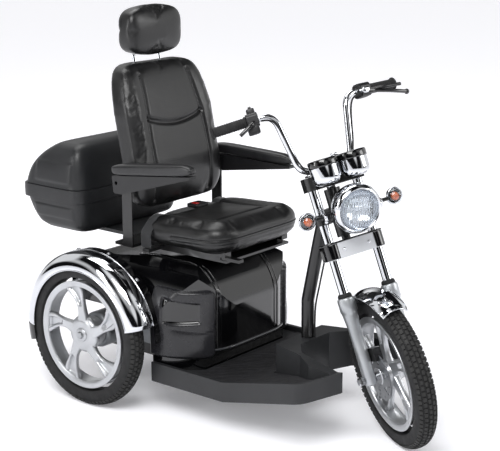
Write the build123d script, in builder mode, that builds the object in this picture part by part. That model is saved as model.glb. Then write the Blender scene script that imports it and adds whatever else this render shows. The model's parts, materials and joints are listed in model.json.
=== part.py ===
from build123d import *
from math import asin, cos, radians, sin, tan
import os

# A three-wheeled electric scooter with a raked fork, a captain's seat and a luggage case.
# Millimetres.  +X is the rider's left, -Y is forward, +Z is up.  The origin is on the floor,
# under the middle of the whole vehicle.  It is parked with the bars turned to the right.

# ---------------------------------------------------------------- driving dimensions
CLEAR = 0.4                    # running clearance between pieces that move
PLATE = 3.0                    # pressed steel and moulded cover thickness

TYRE_R = 250.0                 # outer radius of every tyre
TYRE_W = 62.0                  # widest section
BEAD_R = TYRE_R - 73           # bead seat on the rim
BEAD_HALF = 25.0               # half width between the flanges
FLANGE_R = BEAD_R + 7.5
FLANGE_T = 3.5
BARREL_T = 9.0
SPOKES = 5
SPOKE_T = 22.0

REAR_AXLE_Y = 398.0
BODY_HALF = 285.0              # half width of the body shroud
TRACK_HALF = BODY_HALF + 73    # rear tyre centre plane
WHEELBASE = 1006.0
RAKE = 21.6                    # steering axis from the vertical, degrees
AXLE_OFFSET = 39.8             # the fork legs stand this far ahead of the steering axis
REST_TURN = -31.8              # bars turned to the right when parked, degrees

REAR_HUB_R = 50.0
REAR_HUB_PROUD = 26.0          # hub face outboard of the tyre's centre plane
HUB_CAP_R = 15.0
HUB_CAP_PROUD = 41.0
STUB_R = 14.0                  # rear stub shaft
STUB_DEPTH = 45.0
FRONT_HUB_R = 30.0
FRONT_HUB_HALF = 46.0
AXLE_R = 8.0
DISC_R = 80.0
DISC_T = 4.0
DISC_X = -42.0

LEG_X = 75.7                   # fork leg from the centre plane
SLIDER_R = 20.0
SLIDER_TOP_R = 25.0
SLIDER_TOP = TYRE_R + 12       # along the leg from the axle
SLIDER_FOOT = -20.0
FENDER_TAB_X = 45.5            # inner end of the tabs that carry the front fender
TUBE_R = 15.5                  # chrome fork tube
YOKE_LOW = 390.0
YOKE_TOP = 430.0
COVER_LOW = 383.0
COVER_TOP = 436.0
HEAD_LOW = 446.0               # head tube along the steering axis
HEAD_TOP = 600.0
HEAD_R = 26.0
STEM_R = 14.0
CLAMP_LOW = 607.0
CLAMP_TOP = 650.0
BAR_R = 11.0
BAR_BASE_Z = 668.0
BAR_TOP_Z = 871.5
BAR_BASE_X = 88.0
BAR_BASE_Y = -12.0
BAR_TOP_X = 125.0
BAR_END_X = 314.0
BAR_END_Y = 27.0
BAR_BEND = 45.0
GRIP_R = 15.0
GRIP_L = 115.0
CONTROL_L = 36.0

LAMP_R = 76.0                  # headlamp rim
LAMP_LENS_R = 64.0
LAMP_DEPTH = 92.0
LAMP_Y = -168.0                # headlamp rim centre in the fork's frame
LAMP_Z = 514.0
SIGNAL_R = 27.0
SIGNAL_X = 148.7
SIGNAL_Y = -120.0
SIGNAL_Z = 525.0
POD_R = 47.0
POD_X = 48.0
POD_Y = -118.0
POD_LOW = 614.0
POD_TOP = 690.0

DECK_HALF = BODY_HALF + 16.5   # footboard, a rim's width outside the shroud
DECK_REAR = 158.0
DECK_BOTTOM = 118.0
DECK_TOP = 166.0               # floor surface
DECK_RIM = 184.0               # top of the raised edge
DECK_KINK = -150.0             # where the floor starts to climb
DECK_FRONT = -462.0            # outer front corner
DECK_NOSE = -519.0             # inner front tip beside the wheel
DECK_RISE = 68.0               # climb from the kink to the outer front corner
DECK_WALL = 5.0
DECK_EDGE = 14.0               # width of the raised edge
MAT_T = 4.0
ARCH_TOP = 283.0
ARCH_NOSE_TOP = 257.0

RAIL_X = 100.0
RAIL_W = 40.0
RAIL_LOW = 122.0
RAIL_TOP = DECK_TOP - DECK_WALL
RAIL_REAR = 545.0
RAIL_FRONT = -284.0
DOWN_TUBE_R = 21.0
DOWN_TUBE_Y = -262.0

BODY_FRONT = -38.0
BODY_REAR = 565.0
BODY_TOP = 520.0
BODY_CORNER = 195.0             # front corners seen from above
BODY_REAR_CORNER = 40.0
BODY_SHOULDER = 180.0           # upper corners seen from the front
BODY_WALL = 4.0
TAIL_DROP = 36.0                # fall of the top towards the rear
AXLE_BAY_FRONT = 165.0         # the bay over the transaxle
AXLE_BAY_TOP = 335.0
COVER_T = 14.0                 # side cover thickness

FENDER_R = TYRE_R + 30
FENDER_LIP_R = TYRE_R - 26
FENDER_OUT = TRACK_HALF + 39
FENDER_ROLL = TRACK_HALF - 8    # where the crown starts to roll over
FENDER_SPLIT = TRACK_HALF - 40  # inner edge of the plated part
FENDER_T = 2.5

SEAT_Y = 95.0                  # seat post
POST_R = 30.0
PLATE_Z = 529.0                # underside of the swivelling seat plate
CUSHION_HALF = 236.0
CUSHION_FRONT = -90.0
CUSHION_REAR = 282.0
CUSHION_LOW = 548.0            # underside at the rear
CUSHION_T = 96.0
CUSHION_ROLL = 30.0             # length of the front roll, which hangs ahead of the seat frame
CUSHION_ROLL_DROP = 17.0
CUSHION_TILT = 2.7
BACK_HALF = 221.0
BACK_TOP_HALF = 204.0
BACK_LOW = 648.0
BACK_TOP = 1146.0
BACK_HINGE_Y = 330.0
BACK_HINGE_Z = 690.0
BRACKET_T = 5.0
ARM_X = 256.0
ARM_W = 44.0
ARM_L = 335.0                  # pivot to the front end
ARM_PIVOT_Y = 328.0
ARM_PIVOT_Z = 762.0
ARM_UP = 62.0                  # pad top above the pivot
PAD_T = 38.0
RIGHT_ARM_TILT = 6.5           # how far each pad is set up from level when parked, degrees
LEFT_ARM_TILT = -1.7
HEADREST_HALF = 130.0
HEADREST_T = 95.0
HEADREST_LOW = 1158.0
HEADREST_TOP = 1323.0
HEADREST_Y = 417.0
HEAD_POST_X = 62.0
HEAD_POST_R = 6.0
HEAD_POST_LEAN = 9.0

CASE_HALF = 262.0              # luggage case
CASE_FRONT = 520.0
CASE_REAR = 822.0
CASE_LOW = 549.0
CASE_SEAM = 700.0
CASE_TOP = 856.0
CASE_WALL = 4.0
CASE_BAND = 46.0

# ---------------------------------------------------------------- derived places
rake = radians(RAKE)
turn = radians(REST_TURN)
lean = asin(sin(rake) * abs(sin(turn)))
CROWN_R = TYRE_W / 2
AXLE_DROP = AXLE_OFFSET * sin(rake) * (1 - cos(turn))
FRONT_AXLE_Z = (TYRE_R - CROWN_R) * cos(lean) + CROWN_R + AXLE_DROP
FRONT_AXLE_Y = REAR_AXLE_Y - WHEELBASE
STEER_Y = FRONT_AXLE_Y + AXLE_OFFSET * cos(rake)
STEER_Z = FRONT_AXLE_Z - AXLE_OFFSET * sin(rake)
HEAD_FRAME = Location((0, STEER_Y, STEER_Z), (-RAKE, 0, 0))
FORK_FRAME = HEAD_FRAME * Location((0, 0, 0), (0, 0, REST_TURN))
LEG_Y = -AXLE_OFFSET
KINK_SLOPE = DECK_RISE / (DECK_KINK - DECK_FRONT)


def keep(piece, name, place=None):
    """Label a finished piece, put it in its place and write it."""
    solid = piece.part if place is None else piece.part.moved(place)
    solid.label = name
    export_step(solid, f"parts/{name}.step")
    return solid


def polar(radius, angle):
    """A point on a circle, for sketches that turn about their origin."""
    return (radius * cos(radians(angle)), radius * sin(radians(angle)))


def drum(radius, start, end, mode=Mode.ADD):
    """Add a cylinder along X to the part being built."""
    with Locations(((start + end) / 2, 0, 0)):
        Cylinder(radius, abs(end - start), rotation=(0, 90, 0), mode=mode)


def steer_point(x, y, z):
    """A point of the fork's frame in the vehicle's frame, bars straight."""
    return (x, STEER_Y + y * cos(rake) + z * sin(rake), STEER_Z - y * sin(rake) + z * cos(rake))


# ---------------------------------------------------------------- wheels
def spokes(shift):
    """The ring of curved spokes, each one forked where it meets the rim."""
    hub = FRONT_HUB_R - 4
    reach = BEAD_R - BARREL_T / 2
    swirl = 14
    middle = (hub + reach) / 2
    with BuildSketch(Plane.YZ.offset(shift - SPOKE_T / 2)) as arm:
        with BuildLine():
            first = ThreePointArc(polar(hub, 26), polar(middle, 11), polar(reach, swirl + 13))
            last = ThreePointArc(polar(reach, swirl - 13), polar(middle, 1), polar(hub, -26))
            Line(first @ 1, last @ 0)
            Line(last @ 1, first @ 0)
        make_face()
        with BuildLine():
            Polyline(polar(middle + 24, 9), polar(reach - 8, swirl + 7), polar(reach - 8, swirl - 6), close=True)
        make_face(mode=Mode.SUBTRACT)
    one = extrude(arm.sketch, amount=SPOKE_T, mode=Mode.PRIVATE)
    return [one.rotate(Axis.X, 90 + 360 * k / SPOKES) for k in range(SPOKES)]


def rim(hub_radius, hub_inner, hub_outer, spoke_x):
    """Cast rim: barrel with two flanges, forked spokes and a hub, turning about X."""
    outer = BEAD_HALF + FLANGE_T
    with BuildPart() as casting:
        with BuildSketch(Plane.XZ):
            with BuildLine():
                Polyline(
                    (-outer, FLANGE_R), (-BEAD_HALF, FLANGE_R), (-BEAD_HALF, BEAD_R), (BEAD_HALF, BEAD_R),
                    (BEAD_HALF, FLANGE_R), (outer, FLANGE_R), (outer, BEAD_R - 1.5 * BARREL_T),
                    (outer - 6, BEAD_R - 1.5 * BARREL_T), (outer - 14, BEAD_R - BARREL_T),
                    (14 - outer, BEAD_R - BARREL_T), (6 - outer, BEAD_R - 1.5 * BARREL_T),
                    (-outer, BEAD_R - 1.5 * BARREL_T), close=True,
                )
            make_face()
        revolve(axis=Axis.X)
        add(spokes(spoke_x))
        drum(hub_radius, hub_inner, hub_outer)
    return casting.part


def tyre():
    """Closed tyre section turned about X: round crown, tapering sidewalls, beads on the rim."""
    with BuildPart() as ring:
        with BuildSketch(Plane.XZ):
            with BuildLine():
                left = Line((-BEAD_HALF, BEAD_R), (-BEAD_HALF, FLANGE_R + 2))
                wall = Line(left @ 1, (-CROWN_R, TYRE_R - CROWN_R))
                crown = ThreePointArc(wall @ 1, (0, TYRE_R), (CROWN_R, TYRE_R - CROWN_R))
                Polyline(crown @ 1, (BEAD_HALF, FLANGE_R + 2), (BEAD_HALF, BEAD_R), left @ 0)
            make_face()
        revolve(axis=Axis.X)
    return ring.part


REAR_HUB_INNER = -38.0
for side, name in ((1, "left"), (-1, "right")):
    wheel_place = Location((side * TRACK_HALF, REAR_AXLE_Y, TYRE_R), (0, 0, 0 if side > 0 else 180))
    with BuildPart() as rear_rim:
        add(rim(REAR_HUB_R, REAR_HUB_INNER, REAR_HUB_PROUD, REAR_HUB_PROUD - SPOKE_T / 2))
        drum(HUB_CAP_R, REAR_HUB_PROUD, HUB_CAP_PROUD)
        drum(STUB_R, REAR_HUB_INNER - STUB_DEPTH, REAR_HUB_INNER)
    keep(rear_rim, f"rear_rim_{name}", wheel_place)
    with BuildPart() as rear_tyre:
        add(tyre())
    keep(rear_tyre, f"rear_tyre_{name}", wheel_place)

FRONT_WHEEL = FORK_FRAME * Location((0, LEG_Y, 0))
with BuildPart() as front_rim:
    add(rim(FRONT_HUB_R, -FRONT_HUB_HALF, FRONT_HUB_HALF, 0))
    drum(AXLE_R + CLEAR, -FRONT_HUB_HALF, FRONT_HUB_HALF, Mode.SUBTRACT)
keep(front_rim, "front_rim", FRONT_WHEEL)

with BuildPart() as front_tyre:
    add(tyre())
keep(front_tyre, "front_tyre", FRONT_WHEEL)

with BuildPart() as brake_disc:
    with BuildSketch(Plane.YZ.offset(DISC_X - DISC_T / 2)):
        Circle(DISC_R)
        Circle(FRONT_HUB_R, mode=Mode.SUBTRACT)
        with PolarLocations(DISC_R - 12, 12):
            Circle(4, mode=Mode.SUBTRACT)
        with PolarLocations(DISC_R - 30, 6):
            Circle(9, mode=Mode.SUBTRACT)
    extrude(amount=DISC_T)
keep(brake_disc, "brake_disc", FRONT_WHEEL)

# ---------------------------------------------------------------- fork
SLIDER_WIDE = 42.0
SPACER_R = 13.0
with BuildPart() as front_axle:
    drum(AXLE_R, -LEG_X - SLIDER_R - 12, LEG_X + SLIDER_R + 12)
    for side in (1, -1):
        inner = side * (FRONT_HUB_HALF + CLEAR)
        drum(SPACER_R, inner, side * (LEG_X - SLIDER_R))
        face = side * (LEG_X + SLIDER_R)
        drum(SPACER_R, face, face + side * 9)
keep(front_axle, "front_axle", FRONT_WHEEL)

for side, name in ((1, "left"), (-1, "right")):
    with BuildPart() as slider:
        with BuildSketch(Plane.XZ):
            with BuildLine():
                Polyline(
                    (0, SLIDER_FOOT), (SLIDER_R - 4, SLIDER_FOOT), (SLIDER_R, SLIDER_FOOT + 5),
                    (SLIDER_R, SLIDER_TOP - 2 * SLIDER_WIDE), (SLIDER_TOP_R, SLIDER_TOP - SLIDER_WIDE),
                    (SLIDER_TOP_R, SLIDER_TOP), (0, SLIDER_TOP), close=True,
                )
            make_face()
        revolve(axis=Axis.Z)
        with Locations((-side * (LEG_X - FENDER_TAB_X) / 2, 0, TYRE_R - 10)):
            Box(LEG_X - FENDER_TAB_X, 18, 19)
        with BuildSketch(Plane.XY.offset(SLIDER_TOP)):
            Circle(TUBE_R)
        extrude(amount=-SLIDER_TOP / 2, mode=Mode.SUBTRACT)
        drum(AXLE_R, -2 * SLIDER_R, 2 * SLIDER_R, Mode.SUBTRACT)
    keep(slider, f"fork_slider_{name}", FORK_FRAME * Location((side * LEG_X, LEG_Y, 0)))
    with BuildPart() as tube:
        with BuildSketch(Plane.XY.offset(SLIDER_TOP / 2)):
            Circle(TUBE_R)
        extrude(amount=CLAMP_LOW + 15 - SLIDER_TOP / 2)
    keep(tube, f"fork_tube_{name}", FORK_FRAME * Location((side * LEG_X, LEG_Y, 0)))

YOKE_HALF = 97.0
YOKE_ROUND = 24.0
RISER_X = 34.0
YOKE_FRONT = -66.0
YOKE_BACK = 30.0
with BuildPart() as fork_yokes:
    for low, high in ((YOKE_LOW, YOKE_TOP), (CLAMP_LOW, CLAMP_TOP)):
        with BuildSketch(Plane.XY.offset(low)) as plate:
            with BuildLine():
                Polyline(
                    (-YOKE_HALF, YOKE_FRONT), (YOKE_HALF, YOKE_FRONT), (YOKE_HALF, -12),
                    (YOKE_BACK, YOKE_BACK), (-YOKE_BACK, YOKE_BACK), (-YOKE_HALF, -12), close=True,
                )
            make_face()
            fillet(plate.vertices().group_by(Axis.Y)[0], YOKE_ROUND)
            with Locations((LEG_X, LEG_Y), (-LEG_X, LEG_Y)):
                Circle(TUBE_R, mode=Mode.SUBTRACT)
        extrude(amount=high - low)
    with BuildSketch(Plane.XY.offset(YOKE_TOP)):
        Circle(STEM_R)
    extrude(amount=CLAMP_LOW - YOKE_TOP)
    with BuildSketch(Plane.XY.offset(CLAMP_LOW + 15)):
        with Locations((LEG_X, LEG_Y), (-LEG_X, LEG_Y)):
            Circle(TUBE_R + 1)
    extrude(amount=CLAMP_TOP - CLAMP_LOW - 15)
    with BuildSketch(Plane.XY.offset(CLAMP_LOW)):
        with Locations((0, (YOKE_FRONT + POD_Y) / 2 - 10)):
            Rectangle(2 * POD_X + 30, YOKE_FRONT - POD_Y + 20)
    extrude(amount=POD_LOW - CLAMP_LOW)
    for side in (1, -1):
        with Locations((side * RISER_X, BAR_BASE_Y, (CLAMP_TOP + BAR_BASE_Z + BAR_R + 5) / 2)):
            Box(26, 34, BAR_BASE_Z + BAR_R + 5 - CLAMP_TOP)
    with Locations((0, BAR_BASE_Y, BAR_BASE_Z)):
        Cylinder(BAR_R, 2 * BAR_BASE_X, rotation=(0, 90, 0), mode=Mode.SUBTRACT)
keep(fork_yokes, "fork_yokes", FORK_FRAME)

COVER_BACK = -8.0


def cover_plan(grow):
    """Front of the yoke seen from above, enlarged by an amount and square at the back."""
    with BuildSketch() as plan:
        with Locations((0, (YOKE_FRONT - grow + COVER_BACK) / 2)):
            Rectangle(2 * (YOKE_HALF + grow), COVER_BACK - YOKE_FRONT + grow)
        fillet(plan.vertices().group_by(Axis.Y)[0], YOKE_ROUND + grow)
    return plan.sketch


with BuildPart() as yoke_cover:
    with BuildSketch(Plane.XY.offset(COVER_LOW)):
        add(cover_plan(PLATE))
        add(cover_plan(0), mode=Mode.SUBTRACT)
    extrude(amount=COVER_TOP - COVER_LOW)
keep(yoke_cover, "yoke_cover", FORK_FRAME)

CALIPER_Z = 50.0
with BuildPart() as brake_caliper:
    with BuildSketch(Plane.XY.offset(CALIPER_Z)):
        with Locations(((SLIDER_R - LEG_X + DISC_X + 12) / 2, LEG_Y - 24)):
            Rectangle(LEG_X - SLIDER_R + DISC_X + 12, 44)
    extrude(amount=42)
    with Locations((DISC_X, LEG_Y, 0)):
        Cylinder(DISC_R + 1, DISC_T + 1, rotation=(0, 90, 0), mode=Mode.SUBTRACT)
keep(brake_caliper, "brake_caliper", FORK_FRAME)

FRONT_FENDER_R = TYRE_R + 22
FRONT_FENDER_HALF = 48.0
FRONT_FENDER_BACK = 34.0       # how far it reaches behind the top of the wheel, degrees
FRONT_FENDER_ARC = 77.0
with BuildPart() as front_fender:
    with BuildSketch(Plane.XZ) as crescent:
        with BuildLine():
            edge = FRONT_FENDER_R - 22
            ThreePointArc((-FRONT_FENDER_HALF, edge), (0, FRONT_FENDER_R), (FRONT_FENDER_HALF, edge))
            Line((FRONT_FENDER_HALF, edge), (FRONT_FENDER_HALF - 2, edge))
            ThreePointArc(
                (FRONT_FENDER_HALF - 2, edge), (0, FRONT_FENDER_R - FENDER_T), (2 - FRONT_FENDER_HALF, edge)
            )
            Line((2 - FRONT_FENDER_HALF, edge), (-FRONT_FENDER_HALF, edge))
        make_face()
    revolve(axis=Axis.X, revolution_arc=FRONT_FENDER_ARC)
keep(front_fender, "front_fender", FRONT_WHEEL * Location((0, 0, 0), (-FRONT_FENDER_BACK, 0, 0)))

# ---------------------------------------------------------------- lamps and dials
LENS_BACK = 22.0
BEZEL_Y = -9.0                 # front face of the bezel along the lamp
LAMP_PIN_R = 9.0
LAMP_TILT = Location((0, LAMP_Y, LAMP_Z), (RAKE, 0, 0))
with BuildPart() as headlamp_shell:
    with BuildSketch(Plane.XY):
        with BuildLine():
            Polyline(
                (0, LAMP_DEPTH), (0, BEZEL_Y), (LAMP_LENS_R + 5, BEZEL_Y), (LAMP_R, 0),
                (LAMP_R, LAMP_DEPTH - LAMP_R),
            )
            CenterArc((0, LAMP_DEPTH - LAMP_R), LAMP_R, 0, 90)
        make_face()
    revolve(axis=Axis.Y)
    with Locations((0, (LENS_BACK + BEZEL_Y) / 2, 0)):
        Cylinder(LAMP_LENS_R, LENS_BACK - BEZEL_Y, rotation=(90, 0, 0), mode=Mode.SUBTRACT)
keep(headlamp_shell, "headlamp_shell", FORK_FRAME * LAMP_TILT)

with BuildPart() as headlamp_lens:
    with BuildSketch(Plane.XY):
        with BuildLine():
            front = ThreePointArc((0, -14), (LAMP_LENS_R * 0.55, -11), (LAMP_LENS_R, -2))
            Polyline(front @ 1, (LAMP_LENS_R, LENS_BACK), (0, LENS_BACK), front @ 0)
        make_face()
    revolve(axis=Axis.Y)
keep(headlamp_lens, "headlamp_lens", FORK_FRAME * LAMP_TILT)

EAR_X = 84.0
with BuildPart() as lamp_bracket:
    with BuildSketch(Plane.XY.offset(LAMP_Z - 18)) as hoop:
        with Locations((0, LEG_Y - TUBE_R - 9)):
            Rectangle(2 * LEG_X, 10)
        for side in (1, -1):
            with Locations((side * LEG_X, LEG_Y)):
                Circle(TUBE_R + 6)
            with Locations((side * EAR_X, (LEG_Y + SIGNAL_Y) / 2 - 4)):
                Rectangle(8, LEG_Y - SIGNAL_Y + 8)
            with Locations((side * LEG_X, LEG_Y)):
                Circle(TUBE_R, mode=Mode.SUBTRACT)
    extrude(amount=34)
    for side in (1, -1):
        with Locations((side * (EAR_X + SIGNAL_X - SIGNAL_R) / 2, SIGNAL_Y, SIGNAL_Z - 6)):
            Cylinder(6, SIGNAL_X - SIGNAL_R - EAR_X, rotation=(0, 90, 0))
        with Locations((side * (EAR_X - 14), SIGNAL_Y + 2, LAMP_Z)):
            Cylinder(LAMP_PIN_R, 28, rotation=(0, 90, 0))
    add(LAMP_TILT * headlamp_shell.part, mode=Mode.SUBTRACT)
keep(lamp_bracket, "lamp_bracket", FORK_FRAME)

for side, name in ((1, "left"), (-1, "right")):
    with BuildPart() as signal:
        with Locations((0, 8, 0)):
            Sphere(SIGNAL_R)
        with Locations((0, 0, 0)):
            Cylinder(SIGNAL_R, 22, rotation=(90, 0, 0))
    keep(signal, f"turn_signal_{name}", FORK_FRAME * Location((side * SIGNAL_X, SIGNAL_Y, SIGNAL_Z - 6)))

with BuildPart() as dial_housing:
    with BuildSketch(Plane.XY.offset(POD_LOW)):
        with Locations((POD_X, POD_Y), (-POD_X, POD_Y)):
            Circle(POD_R)
        with Locations((0, POD_Y)):
            Rectangle(2 * POD_X, POD_R)
    extrude(amount=POD_TOP - POD_LOW)
    with BuildSketch(Plane.XY.offset(POD_TOP)):
        with Locations((POD_X, POD_Y), (-POD_X, POD_Y)):
            Circle(POD_R - 6)
    extrude(amount=-6, mode=Mode.SUBTRACT)
keep(dial_housing, "dial_housing", FORK_FRAME)

# ---------------------------------------------------------------- bars and controls
BAR_END = Vector(BAR_END_X, BAR_END_Y, BAR_TOP_Z - 4.5)
BAR_CORNER = Vector(BAR_TOP_X, -24.5, BAR_TOP_Z)
BAR_FOOT = Vector(BAR_BASE_X, BAR_BASE_Y, BAR_BASE_Z)


def flip(point):
    """The same place on the other side of the centre plane."""
    return Vector(-point.X, point.Y, point.Z)


with BuildPart() as handlebar:
    with BuildLine() as bar_path:
        FilletPolyline(
            flip(BAR_END), flip(BAR_CORNER), flip(BAR_FOOT), BAR_FOOT, BAR_CORNER, BAR_END, radius=BAR_BEND
        )
    with BuildSketch(Plane(origin=bar_path.line @ 0, z_dir=bar_path.line % 0)):
        Circle(BAR_R)
    sweep()
keep(handlebar, "handlebar", FORK_FRAME)

for side, name in ((1, "left"), (-1, "right")):
    tip = BAR_END if side > 0 else flip(BAR_END)
    bend = BAR_CORNER if side > 0 else flip(BAR_CORNER)
    along = (bend - tip).normalized()
    grip_plane = Plane(origin=tip - along * 3, z_dir=along)
    with BuildPart() as grip:
        with BuildSketch(grip_plane):
            Circle(GRIP_R)
        extrude(amount=GRIP_L)
        with BuildSketch(grip_plane.offset(3)):
            Circle(BAR_R)
        extrude(amount=GRIP_L, mode=Mode.SUBTRACT)
    keep(grip, f"grip_{name}", FORK_FRAME)
    control_plane = Plane(origin=tip + along * (GRIP_L - 3), z_dir=along, x_dir=(0, -1, 0))
    with BuildPart() as control:
        with BuildSketch(control_plane) as block:
            with Locations((6, 0)):
                Rectangle(46, 44)
            fillet(block.vertices(), 12)
            Circle(BAR_R, mode=Mode.SUBTRACT)
        extrude(amount=CONTROL_L)
        lever_root = control_plane.origin + along * 14 + Vector(0, -32, -6)
        if side > 0:
            lever_tip = lever_root - along * 128 + Vector(0, -22, -4)
            lever_knee = lever_root - along * 60 + Vector(0, -26, -2)
        else:
            lever_tip = lever_root - along * 58 + Vector(0, -10, -30)
            lever_knee = lever_root - along * 30 + Vector(0, -10, -16)
        with BuildLine() as lever_path:
            FilletPolyline(lever_root + Vector(0, 16, 2), lever_knee, lever_tip, radius=30)
        with BuildSketch(Plane(origin=lever_path.line @ 0, z_dir=lever_path.line % 0)):
            Circle(5.5)
        sweep()
    keep(control, f"control_{name}", FORK_FRAME)

# ---------------------------------------------------------------- chassis
HEAD_BOTTOM = Vector(*steer_point(0, 0, HEAD_LOW))
HEAD_JOIN = Vector(*steer_point(0, 0, (HEAD_LOW + HEAD_TOP) / 2))
DOWN_TUBE_FOOT = Vector(0, DOWN_TUBE_Y, (RAIL_LOW + RAIL_TOP) / 2)
with BuildPart() as chassis_frame:
    with BuildLine() as spine:
        FilletPolyline(
            DOWN_TUBE_FOOT, (0, DOWN_TUBE_Y, 410), (0, DOWN_TUBE_Y - 42, 610),
            (0, HEAD_JOIN.Y + 55, HEAD_JOIN.Z - 22), HEAD_JOIN, radius=38,
        )
    with BuildSketch(Plane(origin=spine.line @ 0, z_dir=spine.line % 0)):
        Circle(DOWN_TUBE_R)
    sweep()
    for side in (1, -1):
        with Locations((side * RAIL_X, (RAIL_REAR + RAIL_FRONT) / 2, (RAIL_LOW + RAIL_TOP) / 2)):
            Box(RAIL_W, RAIL_REAR - RAIL_FRONT, RAIL_TOP - RAIL_LOW)
    for y in (RAIL_FRONT + 20, SEAT_Y, REAR_AXLE_Y - 70, RAIL_REAR - 20):
        with Locations((0, y, (RAIL_LOW + RAIL_TOP) / 2)):
            Box(2 * RAIL_X, 40, RAIL_TOP - RAIL_LOW)
    with BuildSketch(Plane(origin=HEAD_BOTTOM, z_dir=(0, sin(rake), cos(rake)))) as head_ring:
        Circle(HEAD_R)
    extrude(amount=HEAD_TOP - HEAD_LOW)
    with BuildSketch(Plane(origin=HEAD_BOTTOM, z_dir=(0, sin(rake), cos(rake)))):
        Circle(STEM_R + CLEAR)
    extrude(amount=HEAD_TOP - HEAD_LOW, mode=Mode.SUBTRACT)
    with BuildSketch(Plane.YZ.offset(-2 * RAIL_X)):
        with BuildLine():
            Polyline(
                (DECK_KINK, RAIL_LOW - 1), (DECK_KINK, RAIL_LOW), (2 * DECK_KINK, RAIL_LOW - KINK_SLOPE * DECK_KINK),
                (2 * DECK_KINK, RAIL_LOW - 1), close=True,
            )
        make_face()
    extrude(amount=4 * RAIL_X, mode=Mode.SUBTRACT)
    with Locations((0, SEAT_Y, (RAIL_TOP + PLATE_Z - 8) / 2)):
        Cylinder(POST_R, PLATE_Z - 8 - RAIL_TOP)
    with Locations((0, SEAT_Y, PLATE_Z - 4)):
        Cylinder(POST_R - 8, 8)
keep(chassis_frame, "chassis_frame")

# ---------------------------------------------------------------- footboard
NOTCH_HALF = 78.0
NOTCH_REAR = -293.0
NOTCH_KNEE_X = 138.0
NOTCH_KNEE_Y = -341.0
NOTCH_NOSE_X = 174.0
DECK_CORNER = 45.0
ARCH_REAR = -228.0
ARCH_HALF = 124.0
ARCH_NOSE_HALF = 196.0


def deck_line(y):
    """Height of the floor surface at a distance along the vehicle."""
    return DECK_TOP + max(0.0, DECK_KINK - y) * KINK_SLOPE


def deck_plan(inset):
    """Footboard seen from above, drawn in by an amount; the notch for the front wheel is cut apart."""
    half = DECK_HALF - inset
    with BuildSketch() as plan:
        with BuildLine():
            Polyline(
                (-half, DECK_REAR - inset), (half, DECK_REAR - inset), (half, DECK_FRONT + inset),
                (NOTCH_NOSE_X + inset, DECK_NOSE + 1.4 * inset), (-NOTCH_NOSE_X - inset, DECK_NOSE + 1.4 * inset),
                (-half, DECK_FRONT + inset), close=True,
            )
        make_face()
        fillet(plan.vertices().group_by(Axis.X)[0].sort_by(Axis.Y)[0], DECK_CORNER)
        fillet(plan.vertices().group_by(Axis.X)[-1].sort_by(Axis.Y)[0], DECK_CORNER)
    return plan.sketch


def notch_plan(grow):
    """Space for the turning front wheel seen from above, enlarged by an amount."""
    with BuildSketch() as plan:
        with BuildLine():
            Polyline(
                (-NOTCH_HALF - grow, NOTCH_REAR + grow), (NOTCH_HALF + grow, NOTCH_REAR + grow),
                (NOTCH_KNEE_X + grow, NOTCH_KNEE_Y + 0.5 * grow), (NOTCH_NOSE_X + grow, DECK_NOSE - 60),
                (-NOTCH_NOSE_X - grow, DECK_NOSE - 60), (-NOTCH_KNEE_X - grow, NOTCH_KNEE_Y + 0.5 * grow),
                close=True,
            )
        make_face()
    return plan.sketch


def arch_plan(inset):
    """Raised box around the notch seen from above."""
    with BuildSketch() as plan:
        with BuildLine():
            Polyline(
                (-ARCH_HALF + inset, ARCH_REAR - inset), (ARCH_HALF - inset, ARCH_REAR - inset),
                (NOTCH_KNEE_X + 24 - inset, NOTCH_KNEE_Y - 12), (ARCH_NOSE_HALF - inset, NOTCH_KNEE_Y - 70),
                (ARCH_NOSE_HALF - inset, DECK_NOSE - 60), (-ARCH_NOSE_HALF + inset, DECK_NOSE - 60),
                (-ARCH_NOSE_HALF + inset, NOTCH_KNEE_Y - 70), (-NOTCH_KNEE_X - 24 + inset, NOTCH_KNEE_Y - 12),
                close=True,
            )
        make_face()
    return plan.sketch


def floor_band(low, high, rear, front, half):
    """Everything between two heights above the floor surface, which climbs ahead of the kink."""
    with BuildSketch(Plane.YZ.offset(-half)) as side_view:
        with BuildLine():
            Polyline(
                (rear, DECK_TOP + low), (rear, DECK_TOP + high), (DECK_KINK, DECK_TOP + high),
                (front, deck_line(front) + high), (front, deck_line(front) + low), (DECK_KINK, DECK_TOP + low),
                close=True,
            )
        make_face()
    return extrude(side_view.sketch, amount=2 * half, mode=Mode.PRIVATE)


FAR = 400.0
SKIRT = DECK_TOP - DECK_BOTTOM
ARCH_SLOPE = (ARCH_TOP - ARCH_NOSE_TOP) / (NOTCH_KNEE_Y - DECK_NOSE)


def tall(plan):
    """A plan drawn on the floor, raised above everything."""
    return extrude(plan, amount=FAR, mode=Mode.PRIVATE)


def under_arch(drop):
    """Everything lower than the arch's top, which falls away towards the nose."""
    with BuildSketch(Plane.YZ.offset(-FAR)) as side_view:
        with BuildLine():
            top = ARCH_TOP - drop
            Polyline(
                (FAR, 0), (FAR, top), (NOTCH_KNEE_Y, top),
                (NOTCH_KNEE_Y - FAR, top - FAR * ARCH_SLOPE), (NOTCH_KNEE_Y - FAR, 0), close=True,
            )
        make_face()
    return extrude(side_view.sketch, amount=2 * FAR, mode=Mode.PRIVATE)


def between(low, high):
    """A layer between two heights above the floor surface, wider and longer than the footboard."""
    return floor_band(low, high, FAR, DECK_NOSE - FAR, FAR)


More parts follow.
